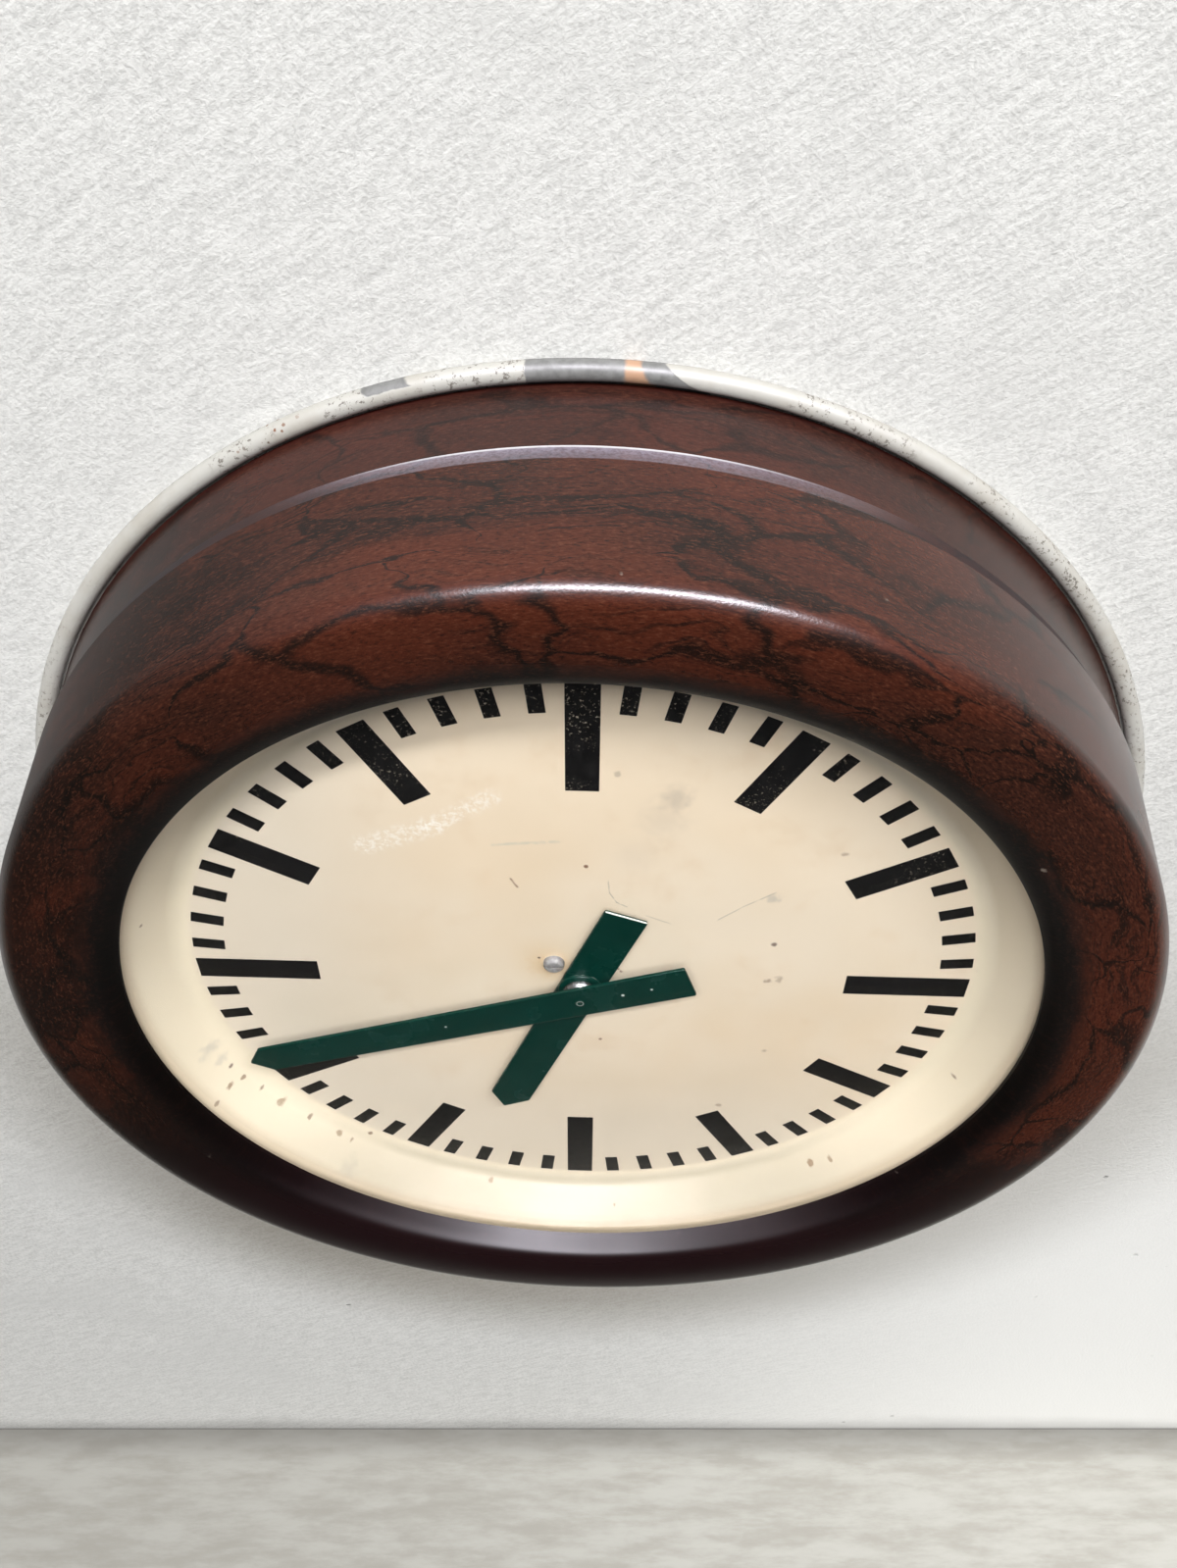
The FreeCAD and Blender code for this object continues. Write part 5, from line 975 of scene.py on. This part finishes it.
def makeWallPaint():
    material, tree, shader = newMaterial("wallPaint", Roughness=0.9, Specular_IOR_Level=0.0)
    place = objectPlace(tree)
    grit = noise(tree, place, 700.0, 4.0, 0.75).outputs["Fac"]
    strokes = noise(tree, stretched(tree, place, (1.0, 1.0, 5.0), (0.0, stageLook["strokeTurn"], 0.0)), 90.0, 4.0, 0.65)
    tone = math(tree, "MULTIPLY_ADD", strokes.outputs["Fac"], 0.4, math(tree, "MULTIPLY", grit, 0.6))
    tint = stageLook["wallTint"]
    color = blend(tree, fade(tree, tone, 0.36, 0.60), tuple(0.76 * part for part in tint), tint)
    stain = noise(tree, stretched(tree, place, (1.0, 1.0, 2.2)), 7.0, 4.0, 0.6).outputs["Fac"]
    color = blend(tree, fade(tree, stain, 0.50, 0.75, 0.0, 0.6), color, tuple(0.84 * part for part in tint))
    axes = addNode(tree, "SeparateXYZ", {0: place}).outputs
    # painted shade towards the upper left of the wall and painted light towards its lower right
    paintedShadeUpLeft = times(tree, fade(tree, axes["X"], 0.10, -0.30), fade(tree, axes["Z"], -0.10, 0.20), 0.06)
    color = blend(tree, paintedShadeUpLeft, color, tuple(0.55 * part for part in tint))
    paintedLightLowRight = times(tree, fade(tree, axes["X"], -0.04, 0.28), fade(tree, axes["Z"], 0.05, -0.30))
    color = blend(tree, paintedLightLowRight, color, tuple(1.26 * part for part in tint))
    # painted shadow of the clock on the wall below it, stronger on the left
    apart = addNode(tree, "VectorMath", {0: place, 1: stageLook["shadeCentre"]}, operation="DISTANCE").outputs["Value"]
    shade = fade(tree, apart, stageLook["shadeOuter"], stageLook["shadeInner"])
    shade = times(tree, shade, fade(tree, axes["Z"], 0.0, -0.12), fade(tree, axes["X"], 0.25, -0.10, 0.35, 0.62),
                  fade(tree, axes["X"], -0.25, -0.14, 0.5, 1.0))
    color = blend(tree, shade, color, stageLook["shadeTint"])
    pits = useGroup(tree, speckGroup, Place=place, Scale=120.0, Share=0.10, Size=0.11)["Mask"]
    clustered = fade(tree, noise(tree, place, 16.0, 2.0).outputs["Fac"], 0.52, 0.66)
    color = blend(tree, times(tree, pits, clustered, 0.6), color, (0.22, 0.22, 0.21))
    slope = math(tree, "MULTIPLY_ADD", axes["X"], tan(stageLook["floorTilt"]), axes["Z"])
    above = math(tree, "SUBTRACT", slope, stageLook["floorLevel"])
    # painted shade in the corner just above the floor, then the dark joint line itself
    uneven = math(tree, "MULTIPLY_ADD", stain, 0.03, math(tree, "SUBTRACT", above, 0.015))
    color = blend(tree, fade(tree, uneven, stageLook["cornerShadeReach"], 0.0, 0.0, 0.4), color, stageLook["jointAndShadeTint"])
    color = blend(tree, fade(tree, above, stageLook["jointLine"], 0.0, 0.0, 0.8), color, stageLook["jointAndShadeTint"])
    height = math(tree, "SUBTRACT", tone, times(tree, pits, clustered))
    link(tree, shader, Base_Color=color, Normal=bump(tree, height, 0.9, 0.6 * mm))
    return finishStage(material, tree, shader)


def makeFloorPaint():
    material, tree, shader = newMaterial("floorPaint", Roughness=0.9, Specular_IOR_Level=0.0)
    place = objectPlace(tree)
    depth = addNode(tree, "SeparateXYZ", {0: place}).outputs["Y"]
    streaks = noise(tree, stretched(tree, place, (1.0, 4.0, 1.0)), 26.0, 5.0, 0.65).outputs["Fac"]
    pale = blend(tree, fade(tree, streaks, 0.35, 0.68), stageLook["floorTint"], stageLook["floorStain"])
    across = addNode(tree, "SeparateXYZ", {0: place}).outputs["X"]
    # painted shade on the floor, darker towards the left and close to the wall
    pale = blend(tree, fade(tree, across, 0.30, -0.35, 0.0, 0.35), pale, stageLook["jointAndShadeTint"])
    pale = blend(tree, fade(tree, depth, -stageLook["cornerShadeReach"], 0.0, 0.0, 0.55), pale, stageLook["jointAndShadeTint"])
    color = blend(tree, fade(tree, depth, stageLook["floorPale"], stageLook["floorDark"]), pale, stageLook["floorDeep"])
    link(tree, shader, Base_Color=color)
    return finishStage(material, tree, shader)


def makeStage():
    bpy.ops.object.select_all(action="DESELECT")
    bpy.ops.mesh.primitive_circle_add(vertices=96, radius=stageLook["hole"], rotation=(pi / 2, 0.0, 0.0),
                                      location=(0.0, stageLook["wallGap"], 0.0))
    wall = bpy.context.object
    wall.name = "backWall"
    bpy.ops.object.transform_apply(location=True, rotation=True, scale=True)
    bpy.ops.object.mode_set(mode="EDIT")
    bpy.ops.mesh.select_all(action="SELECT")
    bpy.ops.mesh.extrude_edges_move()
    grow = stageLook["half"] / stageLook["hole"]
    bpy.ops.transform.resize(value=(grow, 1.0, grow), center_override=(0.0, 0.0, 0.0))
    bpy.ops.mesh.select_all(action="SELECT")
    bpy.ops.mesh.normals_make_consistent(inside=False)
    bpy.ops.object.mode_set(mode="OBJECT")
    if wall.data.polygons[0].normal.y > 0.0:
        wall.data.flip_normals()
    wall.data.materials.append(makeWallPaint())
    bpy.ops.object.select_all(action="DESELECT")
    half = stageLook["half"]
    bpy.ops.mesh.primitive_plane_add(size=2 * half, location=(0.0, -half + 0.5, stageLook["floorLevel"]),
                                     rotation=(0.0, stageLook["floorTilt"], 0.0))
    bpy.ops.object.transform_apply(location=True, rotation=True, scale=True)
    floor = bpy.context.object
    floor.name = "floor"
    floor.data.materials.append(makeFloorPaint())


makeStage()
print("stage ready")


# Light and camera

lightLook = {
    "keyPower": 118.0, "keyPlace": (0.42, -1.70, 2.72), "keySize": (2.5, 0.20),
    "shinePower": 375.0, "shineSize": (2.4, 0.22), "shineTint": (0.93, 0.89, 1.0),
    "fillPower": 31.5, "fillPlace": (0.0, -1.40, 1.45), "fillSize": (0.8, 0.5),
    "above": (0.50, 0.515, 0.54), "below": (0.02, 0.02, 0.02), "skyFrom": 0.05, "skyTo": 0.65,
}


def addLamp(name, power, place, size, aim=(0.0, -0.05, 0.0)):
    data = bpy.data.lights.new(name, "AREA")
    data.shape = "RECTANGLE"
    data.size, data.size_y = size
    data.energy = power
    lamp = bpy.data.objects.new(name, data)
    bpy.context.scene.collection.objects.link(lamp)
    lamp.location = place
    lamp.rotation_euler = (Vector(aim) - Vector(place)).to_track_quat("-Z", "Y").to_euler()
    return lamp


def makeLight():
    addLamp("keyLamp", lightLook["keyPower"], lightLook["keyPlace"], lightLook["keySize"])
    shine = addLamp("shineLamp", lightLook["shinePower"], lightLook["keyPlace"], lightLook["shineSize"])
    shine.visible_diffuse = False
    shine.data.color = lightLook["shineTint"]
    fill = addLamp("fillLamp", lightLook["fillPower"], lightLook["fillPlace"], lightLook["fillSize"])
    fill.visible_glossy = False
    world = bpy.data.worlds.new("softSky")
    bpy.context.scene.world = world
    world.use_nodes = True
    tree = world.node_tree
    way = addNode(tree, "TexCoord").outputs["Generated"]
    up = addNode(tree, "SeparateXYZ", {0: way}).outputs["Z"]
    sky = blend(tree, fade(tree, up, lightLook["skyFrom"], lightLook["skyTo"]), lightLook["below"], lightLook["above"])
    tree.links.new(sky, tree.nodes["Background"].inputs["Color"])


cameraLook = {"place": (0.0063037, -0.2724042, 0.3001555), "turn": (45.3058, -0.4289, 1.6375), "lens": 29.646}


def makeCamera():
    data = bpy.data.cameras.new("photoCamera")
    data.lens = cameraLook["lens"]
    data.sensor_width = 36.0
    data.clip_start = 0.01
    camera = bpy.data.objects.new("photoCamera", data)
    bpy.context.scene.collection.objects.link(camera)
    camera.location = cameraLook["place"]
    camera.rotation_euler = [radians(angle) for angle in cameraLook["turn"]]
    bpy.context.scene.camera = camera


makeLight()
makeCamera()
bpy.context.scene.view_settings.view_transform = "Standard"
print("light and camera ready")
